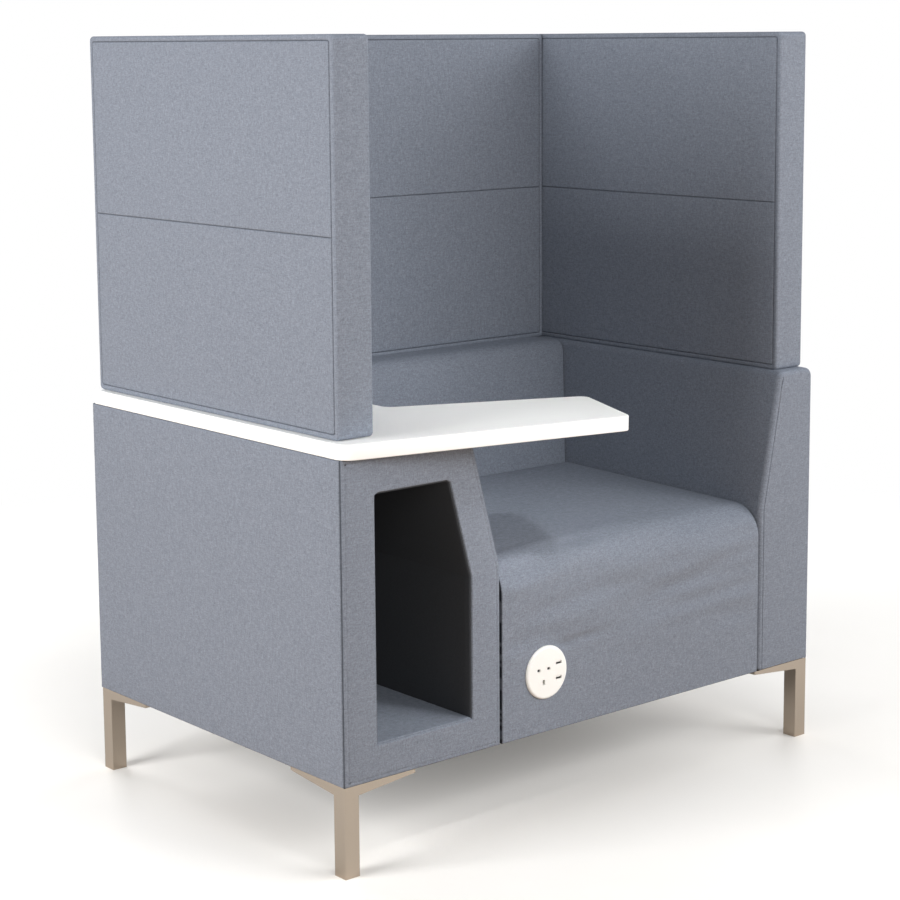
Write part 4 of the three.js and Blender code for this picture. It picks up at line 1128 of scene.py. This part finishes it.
coil = new_piece("shutter_coil", shape, ["zinc_steel"], ["shutter_spring"])
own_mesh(coil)

# %% [markdown]
# ## Dust cover
# Below the timber a black spun-bonded cloth is stapled along its edges. It is pulled tight, and
# still hangs a few millimetres in the middle of each bay.

# %% Dust cover
SAG, RIPPLE, BAYS = 0.0018, 0.0004, 3
cloth_low, cloth_high = (np.array(v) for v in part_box("dust_cover"))
columns, rows = 60, 40
shape = bmesh.new()
weave_points = {}
for i in range(columns + 1):
    for k in range(rows + 1):
        u, v = i / columns, k / rows
        bays = 1 + 0.4 * math.cos(BAYS * math.tau * u)
        sag = SAG * math.sin(math.pi * u) * math.sin(math.pi * v) * bays
        from_edge = min(1, 8 * min(u, v, 1 - u, 1 - v))
        ripple = RIPPLE * noise.noise(Vector((u * 25, v * 17, 40))) * from_edge
        x, y = (cloth_low + (cloth_high - cloth_low) * (u, v, 0))[:2]
        weave_points[i, k] = shape.verts.new((x, y, cloth_low[2] + RIPPLE - sag + ripple))
for i in range(columns):
    for k in range(rows):
        shape.faces.new([weave_points[i + a, k + b] for a, b in ((0, 0), (1, 0), (1, 1), (0, 1))])
dust = new_piece("dust_cover_cloth", shape, ["black_cloth"], ["dust_cover"])

# %% [markdown]
# ## Floor and light
# A pale floor fades into white with distance, so that no horizon shows, and it keeps the pod's
# shadow. The light that it throws back on the cloth is a little warm.

# %% Floor
FADE_FROM, FADE_TO = 0.8, 2.6  # m from the middle of the pod
WARM = "#a3876a"
bpy.ops.mesh.primitive_circle_add(vertices=96, radius=9, fill_type="NGON")
floor = bpy.context.object
floor.name = "studio_floor"
paint, tree, shader, coords = finish_of("painted_floor", "#f4f2ee", roughness=0.7)
speck = noise_of(tree, coords, per_mm(300), 3)
tree.links.new(ramp_of(tree, speck, "#f1efeb", "#f6f4f1"), shader.inputs["Base Color"])
reach = node(tree, "ShaderNodeVectorMath", {"operation": "LENGTH"}, {0: coords})
fading = {"Value": reach.outputs["Value"], "From Min": FADE_FROM, "From Max": FADE_TO}
far = node(tree, "ShaderNodeMapRange", {"interpolation_type": "SMOOTHSTEP"}, fading)
glow = node(tree, "ShaderNodeEmission", {}, {"Strength": 1.0})
rays = node(tree, "ShaderNodeLightPath").outputs
seen = math_of(tree, "MAXIMUM", rays["Is Camera Ray"], rays["Is Glossy Ray"])
fade = math_of(tree, "MULTIPLY", far.outputs[0], seen)
white = node(tree, "ShaderNodeMixShader", {}, {0: fade, 1: shader.outputs[0], 2: glow.outputs[0]})
warm = node(tree, "ShaderNodeBsdfDiffuse", {}, {"Color": linear(WARM)})
shaders = {0: rays["Is Diffuse Ray"], 1: white.outputs[0], 2: warm.outputs[0]}
ground = node(tree, "ShaderNodeMixShader", {}, shaders)
tree.links.new(ground.outputs[0], tree.nodes["Material Output"].inputs["Surface"])
floor.data.materials.append(paint)
floor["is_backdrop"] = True
print("floor:", len(tree.nodes), "nodes")

# %% [markdown]
# The room is white to the eye and in reflections, and all the light comes from the lamps: large soft
# ones like windows, a skylight, and a narrow one on the worktop. Their powers were set by how light
# the cloth and the worktop are in the photograph.

# %% World and lamps
room = bpy.data.worlds.new("white_room")
bpy.context.scene.world = room
room.use_nodes = True
tree = room.node_tree
tree.nodes.clear()
rays = node(tree, "ShaderNodeLightPath").outputs
seen = math_of(tree, "MAXIMUM", rays["Is Camera Ray"], rays["Is Glossy Ray"])
seen = math_of(tree, "MAXIMUM", seen, rays["Is Transmission Ray"])
white = node(tree, "ShaderNodeBackground", {}, {"Color": (1, 1, 1, 1), "Strength": seen})
node(tree, "ShaderNodeOutputWorld", {}, {"Surface": white.outputs[0]})

for name, at, aim, size, angle, power in (
    ("window_left", (-3400, 700, 1800), (300, 300, 700), 2.0, 180, 178),
    ("window_front", (-900, -3700, 2100), (350, 300, 650), 2.4, 180, 84),
    ("window_right", (2200, -3500, 2300), (350, 300, 650), 2.4, 180, 90),
    ("window_far_right", (3500, -2500, 2000), (350, 300, 650), 2.4, 180, 71),
    ("window_behind", (600, 4000, 1000), (550, 700, 700), 2.4, 180, 120),
    ("window_rear_right", (4400, 1700, 1000), (1000, 400, 700), 2.4, 180, 80),
    ("skylight", (100, -1100, 3300), (300, 0, 700), 1.6, 180, 11),
    ("worktop_lamp", (900, -1500, 3000), (400, 40, 697), 0.3, 16, 0.32),
):
    lamp = bpy.data.lights.new(name, "AREA")
    lamp.size, lamp.energy, lamp.spread = size, power, math.radians(angle)
    source = bpy.data.objects.new(name, lamp)
    bpy.context.scene.collection.objects.link(source)
    start, end = Vector(place(at)), Vector(place(aim))
    source.location = start
    source.rotation_euler = (end - start).to_track_quat("-Z", "Y").to_euler()
    print(name, power, "W")
bpy.context.scene.view_settings.view_transform = "Standard"

# %% Sizes and finish
low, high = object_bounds()
print("visual box, m:", [round(v, 3) for v in (high - low)])
